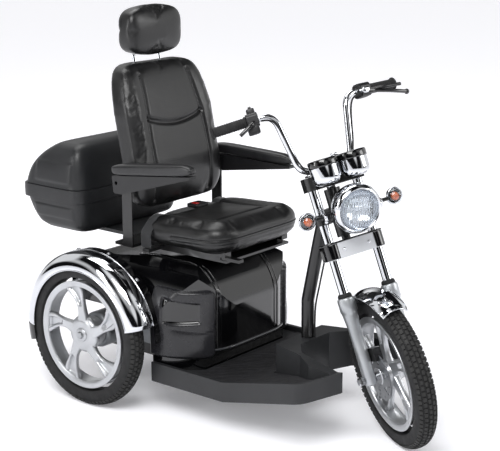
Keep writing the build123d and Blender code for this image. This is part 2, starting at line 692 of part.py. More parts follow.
deck_body = tall(deck_plan(0)) & between(-SKIRT, DECK_RIM - DECK_TOP)
deck_recess = tall(deck_plan(DECK_EDGE)) & between(0, DECK_EDGE * 2)
body_landing = Pos(0, FAR, DECK_TOP + FAR) * Box(2 * (DECK_HALF - DECK_EDGE), 2 * FAR, 2 * FAR)
deck_under = tall(deck_plan(DECK_WALL) - notch_plan(DECK_WALL)) & between(-2 * SKIRT, -DECK_WALL)
arch_body = tall(arch_plan(0) & deck_plan(0)) & between(-SKIRT, FAR) & under_arch(0)
arch_under = tall((arch_plan(DECK_WALL) & deck_plan(DECK_WALL)) - notch_plan(DECK_WALL)) & under_arch(DECK_WALL)
notch = tall(notch_plan(0))
with BuildPart() as footboard:
    add(deck_body)
    add(deck_recess, mode=Mode.SUBTRACT)
    add(body_landing, mode=Mode.SUBTRACT)
    add(arch_body)
    add(deck_under, mode=Mode.SUBTRACT)
    add(arch_under, mode=Mode.SUBTRACT)
    add(notch, mode=Mode.SUBTRACT)
    with Locations((0, DOWN_TUBE_Y, ARCH_TOP)):
        Cylinder(DOWN_TUBE_R + CLEAR, 300, mode=Mode.SUBTRACT)
    with Locations((0, SEAT_Y, DECK_TOP)):
        Cylinder(POST_R + CLEAR, 2 * SKIRT, mode=Mode.SUBTRACT)
    for side in (1, -1):
        with Locations((side * RAIL_X, DECK_REAR, (DECK_BOTTOM + RAIL_TOP) / 2)):
            Box(RAIL_W, 80, RAIL_TOP - DECK_BOTTOM, mode=Mode.SUBTRACT)
keep(footboard, "footboard")

MAT_GAP = 6.0
with BuildPart() as floor_mat:
    add(tall(deck_plan(DECK_EDGE + MAT_GAP)) & between(0, MAT_T))
    add(tall(arch_plan(-MAT_GAP)), mode=Mode.SUBTRACT)
    with Locations((0, FAR, DECK_TOP)):
        Box(2 * FAR, 2 * FAR + 2 * MAT_GAP, FAR, mode=Mode.SUBTRACT)
keep(floor_mat, "floor_mat")

# ---------------------------------------------------------------- body
BODY_LIP_Z = 198.0
BODY_FULL_Z = 232.0


def body_hull(inset):
    """Body shroud as the overlap of its plan, its side view and its front view."""
    half = BODY_HALF - inset
    with BuildSketch() as plan:
        with Locations((0, (BODY_FRONT + BODY_REAR) / 2)):
            Rectangle(2 * half, BODY_REAR - BODY_FRONT - 2 * inset)
        fillet(plan.vertices().group_by(Axis.Y)[0], BODY_CORNER - inset)
        fillet(plan.vertices().group_by(Axis.Y)[-1], BODY_REAR_CORNER)
    with BuildSketch(Plane.YZ.offset(-FAR)) as side_view:
        with BuildLine():
            foot = Polyline(
                (BODY_REAR - inset, DECK_TOP), (inset, DECK_TOP), (inset, BODY_LIP_Z),
                (BODY_FRONT + inset, BODY_FULL_Z), (BODY_FRONT + inset, BODY_TOP - 180),
            )
            brow = ThreePointArc(
                foot @ 1, (BODY_FRONT + 44 + inset, BODY_TOP - 52 - inset), (BODY_FRONT + 156, BODY_TOP - inset)
            )
            tail = Line(brow @ 1, (BODY_REAR - 90, BODY_TOP - TAIL_DROP - inset))
            rump = ThreePointArc(
                tail @ 1, (BODY_REAR - 26 - inset, BODY_TOP - TAIL_DROP - 22 - inset), (BODY_REAR - inset, BODY_TOP - 110)
            )
            Line(rump @ 1, foot @ 0)
        make_face()
    with BuildSketch(Plane.XZ.offset(-BODY_REAR - 1)) as front_view:
        with Locations((0, BODY_TOP / 2 - inset / 2)):
            Rectangle(2 * half, BODY_TOP - inset)
        fillet(front_view.vertices().group_by(Axis.Y)[-1], BODY_SHOULDER - inset)
    tallest = extrude(plan.sketch, amount=BODY_TOP + 1, mode=Mode.PRIVATE)
    widest = extrude(side_view.sketch, amount=2 * FAR, mode=Mode.PRIVATE)
    longest = extrude(front_view.sketch, amount=BODY_REAR - BODY_FRONT + 2, mode=Mode.PRIVATE)
    return tallest & widest & longest


def bay(grow):
    """The open bay over the transaxle."""
    front = AXLE_BAY_FRONT - grow
    return Pos(0, front + FAR, (AXLE_BAY_TOP + grow) / 2) * Box(2 * FAR, 2 * FAR, AXLE_BAY_TOP + grow)


body_outer = body_hull(0) - bay(0)
body_inner = body_hull(BODY_WALL) - bay(BODY_WALL)
with BuildPart() as body_shroud:
    add(body_outer)
    add(body_inner, mode=Mode.SUBTRACT)
    with Locations((0, SEAT_Y, BODY_TOP / 2)):
        Cylinder(POST_R + CLEAR, 2 * BODY_TOP, mode=Mode.SUBTRACT)
keep(body_shroud, "body_shroud")

COVER_FRONT = -52.0
COVER_LOW_Z = 204.0
COVER_TOP_Z = 440.0


with BuildSketch(Plane.YZ) as cover_side:
    with Locations(((COVER_FRONT + AXLE_BAY_FRONT) / 2, (COVER_LOW_Z + COVER_TOP_Z) / 2)):
        Rectangle(AXLE_BAY_FRONT - COVER_FRONT, COVER_TOP_Z - COVER_LOW_Z)
    fillet(cover_side.vertices().group_by(Axis.X)[0], 40)
cover_wall = body_hull(-COVER_T) - body_hull(0)
for side, name in ((1, "left"), (-1, "right")):
    window = extrude(Pos(side * 185, 0, 0) * cover_side.sketch, amount=side * 200)
    with BuildPart() as side_cover:
        add(cover_wall & window)
        with Locations((side * BODY_HALF, REAR_AXLE_Y, TYRE_R)):
            Cylinder(FENDER_R + CLEAR, 200, rotation=(0, 90, 0), mode=Mode.SUBTRACT)
    keep(side_cover, f"side_cover_{name}")

# ---------------------------------------------------------------- rear fenders
FENDER_FRONT = 14.0            # chrome tip above the horizontal, degrees
FENDER_BACK = -2.0
FLAP_BACK = -15.0


def fender_section(outside, inset):
    """Outer half of the fender's section: it rolls from the crown down to the lip."""
    with BuildSketch(Plane.XY) as crescent:
        with BuildLine():
            crown = FENDER_R - inset
            lip_x = FENDER_OUT - inset
            flat = Line((FENDER_SPLIT, crown), (FENDER_ROLL, crown))
            outer = ThreePointArc(flat @ 1, (FENDER_ROLL + 36, crown - 16), (lip_x, FENDER_LIP_R))
            lip = Line(outer @ 1, (lip_x - FENDER_T, FENDER_LIP_R))
            inner = ThreePointArc(
                lip @ 1, (FENDER_ROLL + 34.5, crown - 18), (FENDER_ROLL, crown - FENDER_T)
            )
            Polyline(inner @ 1, (FENDER_SPLIT, crown - FENDER_T), flat @ 0)
        make_face()
    return crescent.sketch if outside > 0 else mirror(crescent.sketch, about=Plane.YZ)


def arc_about_axle(face, start, end):
    """Turn a section about the rear axle, from the rear over the top, between two angles."""
    ring = revolve(face, axis=Axis.X, revolution_arc=end - start, mode=Mode.PRIVATE)
    return Location((0, REAR_AXLE_Y, TYRE_R), (start, 0, 0)) * ring


for side, name in ((1, "left"), (-1, "right")):
    with BuildPart() as rear_fender:
        add(arc_about_axle(fender_section(side, 0), FENDER_BACK, 180 - FENDER_FRONT))
    keep(rear_fender, f"rear_fender_{name}")
    with BuildSketch(Plane.XY) as inner_strip:
        with Locations((side * (BODY_HALF + FENDER_SPLIT) / 2, FENDER_R - PLATE / 2)):
            Rectangle(FENDER_SPLIT - BODY_HALF, PLATE)
    with BuildPart() as inner_fender:
        add(arc_about_axle(inner_strip.sketch, FLAP_BACK, 178))
        add(arc_about_axle(fender_section(side, 1), FLAP_BACK, FENDER_BACK))
    keep(inner_fender, f"inner_fender_{name}")

# ---------------------------------------------------------------- drive
TRANSAXLE_END = TRACK_HALF + REAR_HUB_INNER - CLEAR
CASING_R = 62.0
MOTOR_L = 170.0
with BuildPart() as transaxle:
    with Locations((0, REAR_AXLE_Y, (RAIL_TOP + AXLE_BAY_TOP - 10) / 2)):
        Box(2 * (RAIL_X + RAIL_W / 2), MOTOR_L, AXLE_BAY_TOP - 10 - RAIL_TOP)
    with Locations((0, REAR_AXLE_Y, TYRE_R)):
        Cylinder(38, 2 * TRANSAXLE_END, rotation=(0, 90, 0))
    for side in (1, -1):
        with Locations((side * (TRANSAXLE_END - 55), REAR_AXLE_Y, TYRE_R)):
            Cylinder(CASING_R, 110, rotation=(0, 90, 0))
    casing_ends = transaxle.edges().filter_by(GeomType.CIRCLE).filter_by(
        lambda e: abs(e.radius - CASING_R) < 0.01 and abs(abs(e.center().X) - TRANSAXLE_END) < 0.01)
    fillet(casing_ends, 14)
    for side in (1, -1):
        with Locations((side * (TRANSAXLE_END - STUB_DEPTH / 2), REAR_AXLE_Y, TYRE_R)):
            Cylinder(STUB_R + CLEAR, STUB_DEPTH + 2, rotation=(0, 90, 0), mode=Mode.SUBTRACT)
keep(transaxle, "transaxle")

with BuildPart() as rear_lamp:
    with Locations((0, BODY_REAR + 8, BODY_TOP - 132)):
        Box(300, 16, 44)
    fillet(rear_lamp.edges().filter_by(Axis.Y), 14)
keep(rear_lamp, "rear_lamp")

# ---------------------------------------------------------------- captain's seat
SLIDE_T = 10.0
BELT_X = CUSHION_HALF + 3
BELT_Y = 228.0
BELT_W = 45.0
BELT_T = 2.5
SEAT_FRAME_TOP = PLATE_Z + 8 + SLIDE_T
BRACKET_X = BACK_HALF + 6 + BRACKET_T / 2
BRACKET_Y = 320.0
HINGE_PIN_R = 6.0
WEDGE_FRONT = CUSHION_FRONT + 40
WEDGE_REAR = CUSHION_REAR - 25


def under_cushion(y):
    """Height just under the tilted cushion at a distance along the vehicle."""
    return CUSHION_LOW - CLEAR + (CUSHION_REAR - y) * tan(radians(CUSHION_TILT))


with BuildPart() as seat_frame:
    with Locations((0, SEAT_Y, PLATE_Z + 4)):
        Cylinder(88, 8)
        Box(330, 300, 8)
    for side in (1, -1):
        with Locations((side * 150, (CUSHION_FRONT + BRACKET_Y + 90) / 2 + 30, PLATE_Z + 8 + SLIDE_T / 2)):
            Box(30, BRACKET_Y + 90 - CUSHION_FRONT - 60, SLIDE_T)
        with Locations((side * BRACKET_X, BRACKET_Y, (PLATE_Z + 8 + ARM_PIVOT_Z + 16) / 2)):
            Box(BRACKET_T, 44, ARM_PIVOT_Z + 16 - PLATE_Z - 8)
        with Locations((side * (BRACKET_X + ARM_X) / 2, ARM_PIVOT_Y, ARM_PIVOT_Z)):
            Cylinder(HINGE_PIN_R, ARM_X - BRACKET_X, rotation=(0, 90, 0))
    with Locations((0, BRACKET_Y + 20, PLATE_Z + 8 + SLIDE_T / 2)):
        Box(2 * BRACKET_X, 84, SLIDE_T)
    for side in (1, -1):
        with Locations((side * (BRACKET_X - 8), BACK_HINGE_Y, BACK_HINGE_Z)):
            Cylinder(HINGE_PIN_R, 16, rotation=(0, 90, 0))
    for side in (1, -1):
        with Locations((side * (BELT_X + 150) / 2, BELT_Y, PLATE_Z + 8 + SLIDE_T / 2)):
            Box(BELT_X - 150 + 6, 30, SLIDE_T)
    with Locations((-150, -60, PLATE_Z + 8 + SLIDE_T / 2)):
        Box(24, 90, SLIDE_T)
    for side in (1, -1):
        with BuildSketch(Plane.YZ.offset(side * 150 - 15)):
            with BuildLine():
                Polyline(
                    (WEDGE_FRONT, SEAT_FRAME_TOP - 1), (WEDGE_REAR, SEAT_FRAME_TOP - 1),
                    (WEDGE_REAR, under_cushion(WEDGE_REAR)), (WEDGE_FRONT, under_cushion(WEDGE_FRONT)), close=True,
                )
            make_face()
        extrude(amount=30)
keep(seat_frame, "seat_frame")

CUSHION_PLACE = Location((0, CUSHION_REAR, CUSHION_LOW), (-CUSHION_TILT, 0, 0))
CUSHION_L = CUSHION_REAR - CUSHION_FRONT
with BuildPart() as seat_cushion:
    with BuildSketch() as cushion_plan:
        with Locations((0, -CUSHION_L / 2)):
            Rectangle(2 * CUSHION_HALF, CUSHION_L)
        fillet(cushion_plan.vertices().group_by(Axis.Y)[0], 62)
        fillet(cushion_plan.vertices().group_by(Axis.Y)[-1], 30)
    extrude(amount=CUSHION_T)
    with BuildSketch() as roll_plan:
        add(cushion_plan.sketch)
        with Locations((0, CUSHION_ROLL / 2 - CUSHION_L)):
            Rectangle(2 * CUSHION_HALF, CUSHION_ROLL, mode=Mode.INTERSECT)
    extrude(amount=-CUSHION_ROLL_DROP)
    fillet(seat_cushion.faces().sort_by(Axis.Z)[-1].edges(), 22)
    fillet(seat_cushion.faces().sort_by(Axis.Z)[0].edges(), 10)
keep(seat_cushion, "seat_cushion", CUSHION_PLACE)


with BuildPart() as lap_belt:
    with BuildSketch(Plane.XZ.offset(CUSHION_REAR - BELT_Y - BELT_W / 2)):
        with BuildLine():
            FilletPolyline(
                (-BELT_X, -2), (-BELT_X, CUSHION_T + 2), (BELT_X, CUSHION_T + 2), (BELT_X, -2), radius=25,
            )
            offset(amount=BELT_T / 2, side=Side.BOTH)
        make_face()
    extrude(amount=BELT_W)
keep(lap_belt, "lap_belt", CUSHION_PLACE)


def back_line(z):
    """Rear face of the backrest: nearly upright at the hips, leaning back above the waist."""
    rise = max(0.0, z - BACK_LOW)
    return BACK_HINGE_Y + 36 + 0.05 * rise + 0.0003 * rise * rise


BACK_T = 88.0
with BuildPart() as backrest:
    with BuildSketch(Plane.YZ.offset(-BACK_HALF)) as back_side:
        with BuildLine():
            mid = (BACK_LOW + BACK_TOP) / 2
            rear = ThreePointArc((back_line(BACK_LOW), BACK_LOW), (back_line(mid), mid),
                                 (back_line(BACK_TOP), BACK_TOP))
            top = Line(rear @ 1, (back_line(BACK_TOP) - BACK_T + 24, BACK_TOP))
            front = ThreePointArc(
                top @ 1, (back_line(mid) - BACK_T - 14, mid), (back_line(BACK_LOW) - BACK_T, BACK_LOW)
            )
            Line(front @ 1, rear @ 0)
        make_face()
        fillet(back_side.vertices(), 20)
    extrude(amount=2 * BACK_HALF)
    with BuildSketch(Plane.XZ.offset(-600)) as back_front:
        with BuildLine():
            Polyline(
                (-BACK_HALF, BACK_LOW), (BACK_HALF, BACK_LOW), (BACK_HALF, mid + 40), (BACK_TOP_HALF, BACK_TOP),
                (-BACK_TOP_HALF, BACK_TOP), (-BACK_HALF, mid + 40), close=True,
            )
        make_face()
        fillet(back_front.vertices().group_by(Axis.Y)[-1], 48)
        fillet(back_front.vertices().group_by(Axis.Y)[1], 60)
        fillet(back_front.vertices().group_by(Axis.Y)[0], 30)
    extrude(amount=500, mode=Mode.INTERSECT)
    HEAD_POST_Y = back_line(BACK_TOP) - 30
    post_way = Vector(0, sin(radians(HEAD_POST_LEAN)), cos(radians(HEAD_POST_LEAN)))
    post_plane = Plane(origin=(0, HEAD_POST_Y, BACK_TOP), x_dir=(1, 0, 0), z_dir=post_way)
    with BuildSketch(post_plane.offset(40)):
        with Locations((HEAD_POST_X, 0), (-HEAD_POST_X, 0)):
            Circle(HEAD_POST_R + CLEAR)
    extrude(amount=-160, mode=Mode.SUBTRACT)
    with Locations((0, BACK_HINGE_Y, BACK_HINGE_Z)):
        Cylinder(HINGE_PIN_R + CLEAR, 3 * BACK_HALF, rotation=(0, 90, 0), mode=Mode.SUBTRACT)
keep(backrest, "backrest")

with BuildPart() as headrest:
    with BuildSketch(Plane.XY.offset(HEADREST_LOW)) as pad_plan:
        with Locations((0, HEADREST_Y)):
            Rectangle(2 * HEADREST_HALF, HEADREST_T)
        fillet(pad_plan.vertices(), 45)
    extrude(amount=HEADREST_TOP - HEADREST_LOW)
    fillet(headrest.faces().sort_by(Axis.Z)[-1].edges(), 43)
    fillet(headrest.faces().sort_by(Axis.Z)[0].edges(), 30)
keep(headrest, "headrest")

with BuildPart() as headrest_posts:
    with BuildSketch(post_plane.offset(-100)):
        with Locations((HEAD_POST_X, 0), (-HEAD_POST_X, 0)):
            Circle(HEAD_POST_R)
    extrude(amount=130)
    add(headrest.part, mode=Mode.SUBTRACT)
keep(headrest_posts, "headrest_posts")

for side, name, tilt in ((1, "left", LEFT_ARM_TILT), (-1, "right", RIGHT_ARM_TILT)):
    arm_place = Location((side * ARM_X, ARM_PIVOT_Y, ARM_PIVOT_Z), (-tilt, 0, 0))
    with BuildPart() as arm_panel:
        with BuildSketch(Plane.YZ.offset(-ARM_W / 2 + 5)) as panel_side:
            with BuildLine():
                Polyline(
                    (16, ARM_UP - PAD_T), (16, -34), (-20, -38), (8 - ARM_L, ARM_UP - PAD_T - 8),
                    (8 - ARM_L, ARM_UP - PAD_T), close=True,
                )
            make_face()
            fillet(panel_side.vertices().sort_by(Axis.Y)[:2], 10)
        extrude(amount=ARM_W - 10)
        drum(HINGE_PIN_R + CLEAR, -ARM_W, ARM_W, Mode.SUBTRACT)
    keep(arm_panel, f"armrest_panel_{name}", arm_place)
    with BuildPart() as arm_pad:
        with BuildSketch(Plane.XY.offset(ARM_UP - PAD_T)) as pad_top:
            with Locations((0, (20 - ARM_L) / 2)):
                Rectangle(ARM_W, ARM_L + 20)
            fillet(pad_top.vertices(), 12)
        extrude(amount=PAD_T)
        fillet(arm_pad.faces().sort_by(Axis.Z)[-1].edges(), 9)
    keep(arm_pad, f"armrest_pad_{name}", arm_place)

# ---------------------------------------------------------------- luggage case
CASE_L = CASE_REAR - CASE_FRONT
CASE_R = 0.12 * CASE_L          # corner radius seen from above


def case_layer(z, inset, front, rear):
    """Outline of the case at one height."""
    with BuildSketch(Plane.XY.offset(z)) as ring:
        with Locations((0, (CASE_FRONT + front + rear) / 2)):
            Rectangle(2 * (CASE_HALF - inset), rear - CASE_FRONT - front)
        fillet(ring.vertices(), CASE_R)
    return ring.sketch


def case_hull(levels, wall):
    """Loft through outlines (height, side inset, front and rear shares of the length), thinned by a wall."""
    layers = [
        case_layer(z, inset + wall, front * CASE_L + wall, CASE_REAR - rear * CASE_L - wall)
        for z, inset, front, rear in levels
    ]
    return loft(layers, ruled=True)


band_low = CASE_SEAM - CASE_BAND
tub_levels = ((CASE_LOW, 26, 0.026, 0.315), (CASE_LOW + 22, 12, 0.01, 0.205), (band_low, 4, 0, 0.04))
tub_inner = ((CASE_LOW + CASE_WALL, 26, 0.026, 0.315), (CASE_LOW + 22, 12, 0.01, 0.205),
             (band_low, 4, 0, 0.04), (CASE_SEAM + 1, 4, 0, 0.04))
lid_levels = ((CASE_SEAM + CLEAR, 2, 0, 0.02), (CASE_TOP - 90, 8, 0.013, 0.12),
              (CASE_TOP - 40, 22, 0.046, 0.305), (CASE_TOP, 62, 0.132, 0.53))
lid_inner = ((CASE_SEAM, 2, 0, 0.02), (CASE_TOP - 90, 8, 0.013, 0.12),
             (CASE_TOP - 42, 22, 0.046, 0.305), (CASE_TOP - CASE_WALL, 62, 0.132, 0.53))
tub_body = case_hull(tub_levels, 0)
tub_space = case_hull(tub_inner, CASE_WALL)
lid_body = case_hull(lid_levels, 0)
lid_space = case_hull(lid_inner, CASE_WALL)
with BuildPart() as case_tub:
    add(tub_body)
    add(extrude(case_layer(band_low, 0, 0, CASE_REAR), amount=CASE_BAND, mode=Mode.PRIVATE))
    add(tub_space, mode=Mode.SUBTRACT)
keep(case_tub, "case_tub")

with BuildPart() as case_lid:
    add(lid_body)
    add(lid_space, mode=Mode.SUBTRACT)
keep(case_lid, "case_lid")

with BuildPart() as case_plate:
    with Locations((0, (BRACKET_Y + 62 + CASE_REAR - 150) / 2, (PLATE_Z + 8 + CASE_LOW) / 2)):
        Box(250, CASE_REAR - 150 - BRACKET_Y - 62, CASE_LOW - PLATE_Z - 8)
keep(case_plate, "case_plate")

# ---------------------------------------------------------------- leads
LEAD_R = 3.0


def lead(points, name, place=None):
    """A round lead along hand-set points, with arcs as large as the runs beside them allow."""
    route = [Vector(*point) for point in points]
    radii = []
    for before, corner, after in zip(route, route[1:], route[2:]):
        arrive = corner - before
        leave = after - corner
        radii.append(0.45 * min(arrive.length, leave.length) / tan(radians(arrive.get_angle(leave) / 2)))
    print(name, "bend radii", [round(radius) for radius in radii])
    with BuildPart() as cable:
        with BuildLine() as path:
            FilletPolyline(*route, radius=radii)
        with BuildSketch(Plane(origin=path.line @ 0, z_dir=path.line % 0)):
            Circle(LEAD_R)
        sweep()
    keep(cable, name, place)


CONTROL_FACE_X = 171.0
for side, name in ((1, "left"), (-1, "right")):
    lead(
        [
            (side * CONTROL_FACE_X, -33, 860), (side * 146, -39, 858), (side * 127, -41, 836),
            (side * 113, -38, 780), (side * 101, -37, 722), (side * 84, -39, 680), (side * 74, -41, CLAMP_TOP + 1.4),
        ],
        f"control_lead_{name}", FORK_FRAME,
    )
lead(
    [
        (6, DOWN_TUBE_Y - 24.4, ARCH_TOP + 0.5), (6, DOWN_TUBE_Y - 24, 340), (6, DOWN_TUBE_Y - 26, 396),
        (9, DOWN_TUBE_Y - 37, 452), (9, DOWN_TUBE_Y - 50, 510), (9, DOWN_TUBE_Y - 62, 566), (9, DOWN_TUBE_Y - 75, 620),
    ],
    "frame_lead",
)
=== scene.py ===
"""Finishes, tyres, upholstery and trim for a chopper-style three-wheeled electric scooter.

Metres.  +X is the rider's left, -Y is forward, +Z is up, and the floor is at zero.
"""
import json
import math

import bpy
import numpy as np
from mathutils import Euler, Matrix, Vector


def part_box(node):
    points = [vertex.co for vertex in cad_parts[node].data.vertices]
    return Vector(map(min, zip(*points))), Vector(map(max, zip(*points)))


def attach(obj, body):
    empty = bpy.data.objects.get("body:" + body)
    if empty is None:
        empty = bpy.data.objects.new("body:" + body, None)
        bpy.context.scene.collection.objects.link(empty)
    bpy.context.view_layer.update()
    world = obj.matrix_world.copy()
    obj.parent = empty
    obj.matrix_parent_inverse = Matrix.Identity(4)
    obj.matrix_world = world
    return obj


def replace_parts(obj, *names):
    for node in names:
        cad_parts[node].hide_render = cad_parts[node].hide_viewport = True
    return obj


bl_info = {
    "name": "Three-wheeled scooter finishes",
    "version": (1, 0, 0),
    "blender": (4, 5, 0),
    "location": "3D View > Sidebar > Scooter",
    "description": "Dresses the scooter's frame with tyres, upholstery, trim and finishes",
    "category": "Object",
}

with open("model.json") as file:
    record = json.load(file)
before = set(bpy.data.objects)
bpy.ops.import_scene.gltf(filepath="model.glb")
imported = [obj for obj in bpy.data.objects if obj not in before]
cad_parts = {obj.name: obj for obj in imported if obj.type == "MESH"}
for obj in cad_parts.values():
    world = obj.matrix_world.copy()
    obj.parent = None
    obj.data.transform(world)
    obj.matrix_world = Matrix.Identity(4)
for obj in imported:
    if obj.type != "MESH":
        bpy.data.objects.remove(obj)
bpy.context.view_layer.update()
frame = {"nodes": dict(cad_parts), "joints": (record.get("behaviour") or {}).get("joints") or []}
JOINTS = {joint["name"]: joint for joint in frame["joints"]}
MM = 0.001

# the cushion: how far it leans back, and the rear lower edge that it leans about
CUSHION_TILT = math.radians(2.7)
CUSHION_REAR_Y = 0.282
CUSHION_BASE_Z = 0.548

# the camera: millimetres of lens, metres away, degrees round, up and over
CAMERA_LENS = 97.05
CAMERA_AWAY = 4.395
CAMERA_AIM = (-0.0614, -0.070, 0.6385)
CAMERA_ROUND, CAMERA_UP, CAMERA_ROLL = -50.88, 14.14, -0.14


# ---------------------------------------------------------------- colours and nodes
def linear(code, alpha=1.0):
    """Linear colour from an sRGB hex code: c/12.92 below 0.04045, else ((c+0.055)/1.055)^2.4."""
    values = np.array([int(code[i:i + 2], 16) / 255 for i in (0, 2, 4)])
    low = values / 12.92
    high = ((values + 0.055) / 1.055) ** 2.4
    return (*np.where(values <= 0.04045, low, high).tolist(), alpha)


def add_node(tree, kind, inputs=None, **settings):
    """Adds a node, applies its settings, and sets or links each named input."""
    made = tree.nodes.new(kind)
    for key, value in settings.items():
        setattr(made, key, value)
    for key, value in (inputs or {}).items():
        socket = made.inputs[key]
        if isinstance(value, bpy.types.NodeSocket):
            tree.links.new(value, socket)
        else:
            socket.default_value = value
    return made


def new_material(name):
    """An empty node material, its tree and its object coordinates."""
    made = bpy.data.materials.new(name)
    made.use_nodes = True
    made.node_tree.nodes.clear()
    coords = add_node(made.node_tree, "ShaderNodeTexCoord").outputs["Object"]
    return made, made.node_tree, coords


def finish_material(tree, shader, normal=None):
    """Joins a shader to the output, with an optional bump."""
    if normal is not None:
        tree.links.new(normal, shader.inputs["Normal"])
    add_node(tree, "ShaderNodeOutputMaterial", {"Surface": shader.outputs[0]})


def blotch(tree, coords, size_mm, dark, light, detail=3.0):
    """Colour that drifts between two tones over patches of a size in millimetres."""
    noise = add_node(tree, "ShaderNodeTexNoise",
                     {"Vector": coords, "Scale": 1000 / size_mm, "Detail": detail})
    ramp = add_node(tree, "ShaderNodeValToRGB", {"Fac": noise.outputs["Fac"]})
    ramp.color_ramp.elements[0].position = 0.3
    ramp.color_ramp.elements[0].color = linear(dark)
    ramp.color_ramp.elements[1].position = 0.7
    ramp.color_ramp.elements[1].color = linear(light)
    return ramp.outputs["Color"]


def bump(tree, height, strength, depth_mm, before=None):
    """Bump of a depth in millimetres, laid over an earlier one."""
    inputs = {"Height": height, "Strength": strength, "Distance": depth_mm * MM}
    if before is not None:
        inputs["Normal"] = before
    return add_node(tree, "ShaderNodeBump", inputs).outputs["Normal"]


def rough_patches(tree, coords, size_mm, low, high):
    """Roughness that drifts between two values, as handled surfaces do."""
    noise = add_node(tree, "ShaderNodeTexNoise", {"Vector": coords, "Scale": 1000 / size_mm, "Detail": 4.0})
    spread = add_node(
        tree, "ShaderNodeMapRange",
        {"Value": noise.outputs["Fac"], "From Min": 0.3, "From Max": 0.7, "To Min": low, "To Max": high},
    )
    return spread.outputs["Result"]


def plated_chrome():
    """Chromium over polished nickel: near-perfect mirror with faint handling haze."""
    made, tree, coords = new_material("plated chrome")
    haze = rough_patches(tree, coords, 60, 0.035, 0.09)
    tone = blotch(tree, coords, 140, "d2d4d8", "e2e4e8")
    shader = add_node(tree, "ShaderNodeBsdfPrincipled",
                      {"Base Color": tone, "Metallic": 1.0, "Roughness": haze})
    finish_material(tree, shader)
    return made


def cast_alloy(name, dark, light, roughness):
    """Gravity-cast aluminium under silver lacquer: fine sparkle, soft sheen."""
    made, tree, coords = new_material(name)
    tone = blotch(tree, coords, 90, dark, light)
    grain = add_node(tree, "ShaderNodeTexNoise", {"Vector": coords, "Scale": 1000 / 1.6, "Detail": 5.0})
    shader = add_node(
        tree, "ShaderNodeBsdfPrincipled",
        {"Base Color": tone, "Metallic": 0.8,
         "Roughness": rough_patches(tree, coords, 50, roughness, roughness + 0.1),
         "Coat Weight": 0.35, "Coat Roughness": 0.12},
    )
    finish_material(tree, shader, bump(tree, grain.outputs["Fac"], 0.18, 0.25))
    return made


def brushed_steel():
    """Ground steel: scratches run round the part, so the sheen is wide."""
    made, tree, coords = new_material("brushed steel")
    stretched = add_node(tree, "ShaderNodeMapping", {"Vector": coords, "Scale": (60, 900, 900)})
    scratch = add_node(tree, "ShaderNodeTexNoise",
                       {"Vector": stretched.outputs["Vector"], "Scale": 1.0, "Detail": 4.0})
    shader = add_node(
        tree, "ShaderNodeBsdfPrincipled",
        {"Base Color": blotch(tree, coords, 40, "9c9ea1", "b4b6b9"), "Metallic": 1.0, "Roughness": 0.3},
    )
    finish_material(tree, shader, bump(tree, scratch.outputs["Fac"], 0.15, 0.1))
    return made


def enamel(name, dark, light, roughness, coat):
    """Baked black enamel on steel: even colour, orange-peel ripple under the gloss."""
    made, tree, coords = new_material(name)
    peel = add_node(tree, "ShaderNodeTexNoise", {"Vector": coords, "Scale": 1000 / 5, "Detail": 2.0})
    shader = add_node(
        tree, "ShaderNodeBsdfPrincipled",
        {"Base Color": blotch(tree, coords, 120, dark, light),
         "Roughness": rough_patches(tree, coords, 70, roughness, roughness + 0.06), "Coat Weight": coat,
         "Coat Roughness": 0.06},
    )
    finish_material(tree, shader, bump(tree, peel.outputs["Fac"], 0.06, 0.3))
    return made


def grained_plastic(name, dark, light, roughness, grain_mm, depth_mm):
    """Injection-moulded ABS with a spark-eroded grain: matt, with edges that catch the light."""
    made, tree, coords = new_material(name)
    pits = add_node(tree, "ShaderNodeTexVoronoi", {"Vector": coords, "Scale": 1000 / grain_mm},
                    feature="SMOOTH_F1")
    fine = add_node(tree, "ShaderNodeTexNoise", {"Vector": coords, "Scale": 2500 / grain_mm, "Detail": 3.0})
    shader = add_node(
        tree, "ShaderNodeBsdfPrincipled",
        {"Base Color": blotch(tree, coords, 110, dark, light),
         "Roughness": rough_patches(tree, coords, 45, roughness, roughness + 0.08), "IOR": 1.5},
    )
    first = bump(tree, pits.outputs["Distance"], 0.35, depth_mm)
    finish_material(tree, shader, bump(tree, fine.outputs["Fac"], 0.15, depth_mm / 2, first))
    return made


def tyre_rubber(name, dark, light):
    """Vulcanised carbon-black rubber: dull, its tone drifting in patches."""
    made, tree, coords = new_material(name)
    grain = add_node(tree, "ShaderNodeTexNoise", {"Vector": coords, "Scale": 1000 / 2.5, "Detail": 6.0})
    shader = add_node(
        tree, "ShaderNodeBsdfPrincipled",
        {"Base Color": blotch(tree, coords, 35, dark, light, 6.0),
         "Roughness": rough_patches(tree, coords, 20, 0.62, 0.8), "IOR": 1.5, "Specular IOR Level": 0.4},
    )
    finish_material(tree, shader, bump(tree, grain.outputs["Fac"], 0.2, 0.3))
    return made


def soft_leather(name, dark, light, roughness):
    """Corrected-grain hide or vinyl: pebbles about 1.4 mm across, drawn at 3 mm so that they show,
    with slow creases; semi-gloss from its topcoat."""
    made, tree, coords = new_material(name)
    pebble = add_node(tree, "ShaderNodeTexVoronoi", {"Vector": coords, "Scale": 1000 / 3},
                      feature="SMOOTH_F1")
    crease = add_node(
        tree, "ShaderNodeTexNoise", {"Vector": coords, "Scale": 1000 / 45, "Detail": 4.0, "Distortion": 0.6})
    shader = add_node(
        tree, "ShaderNodeBsdfPrincipled",
        {"Base Color": blotch(tree, coords, 80, dark, light),
         "Roughness": rough_patches(tree, coords, 60, roughness, roughness + 0.12), "IOR": 1.5,
         "Coat Weight": 0.15, "Coat Roughness": 0.3},
    )
    first = bump(tree, crease.outputs["Fac"], 0.35, 2.5)
    finish_material(tree, shader, bump(tree, pebble.outputs["Distance"], 0.3, 0.4, first))
    return made


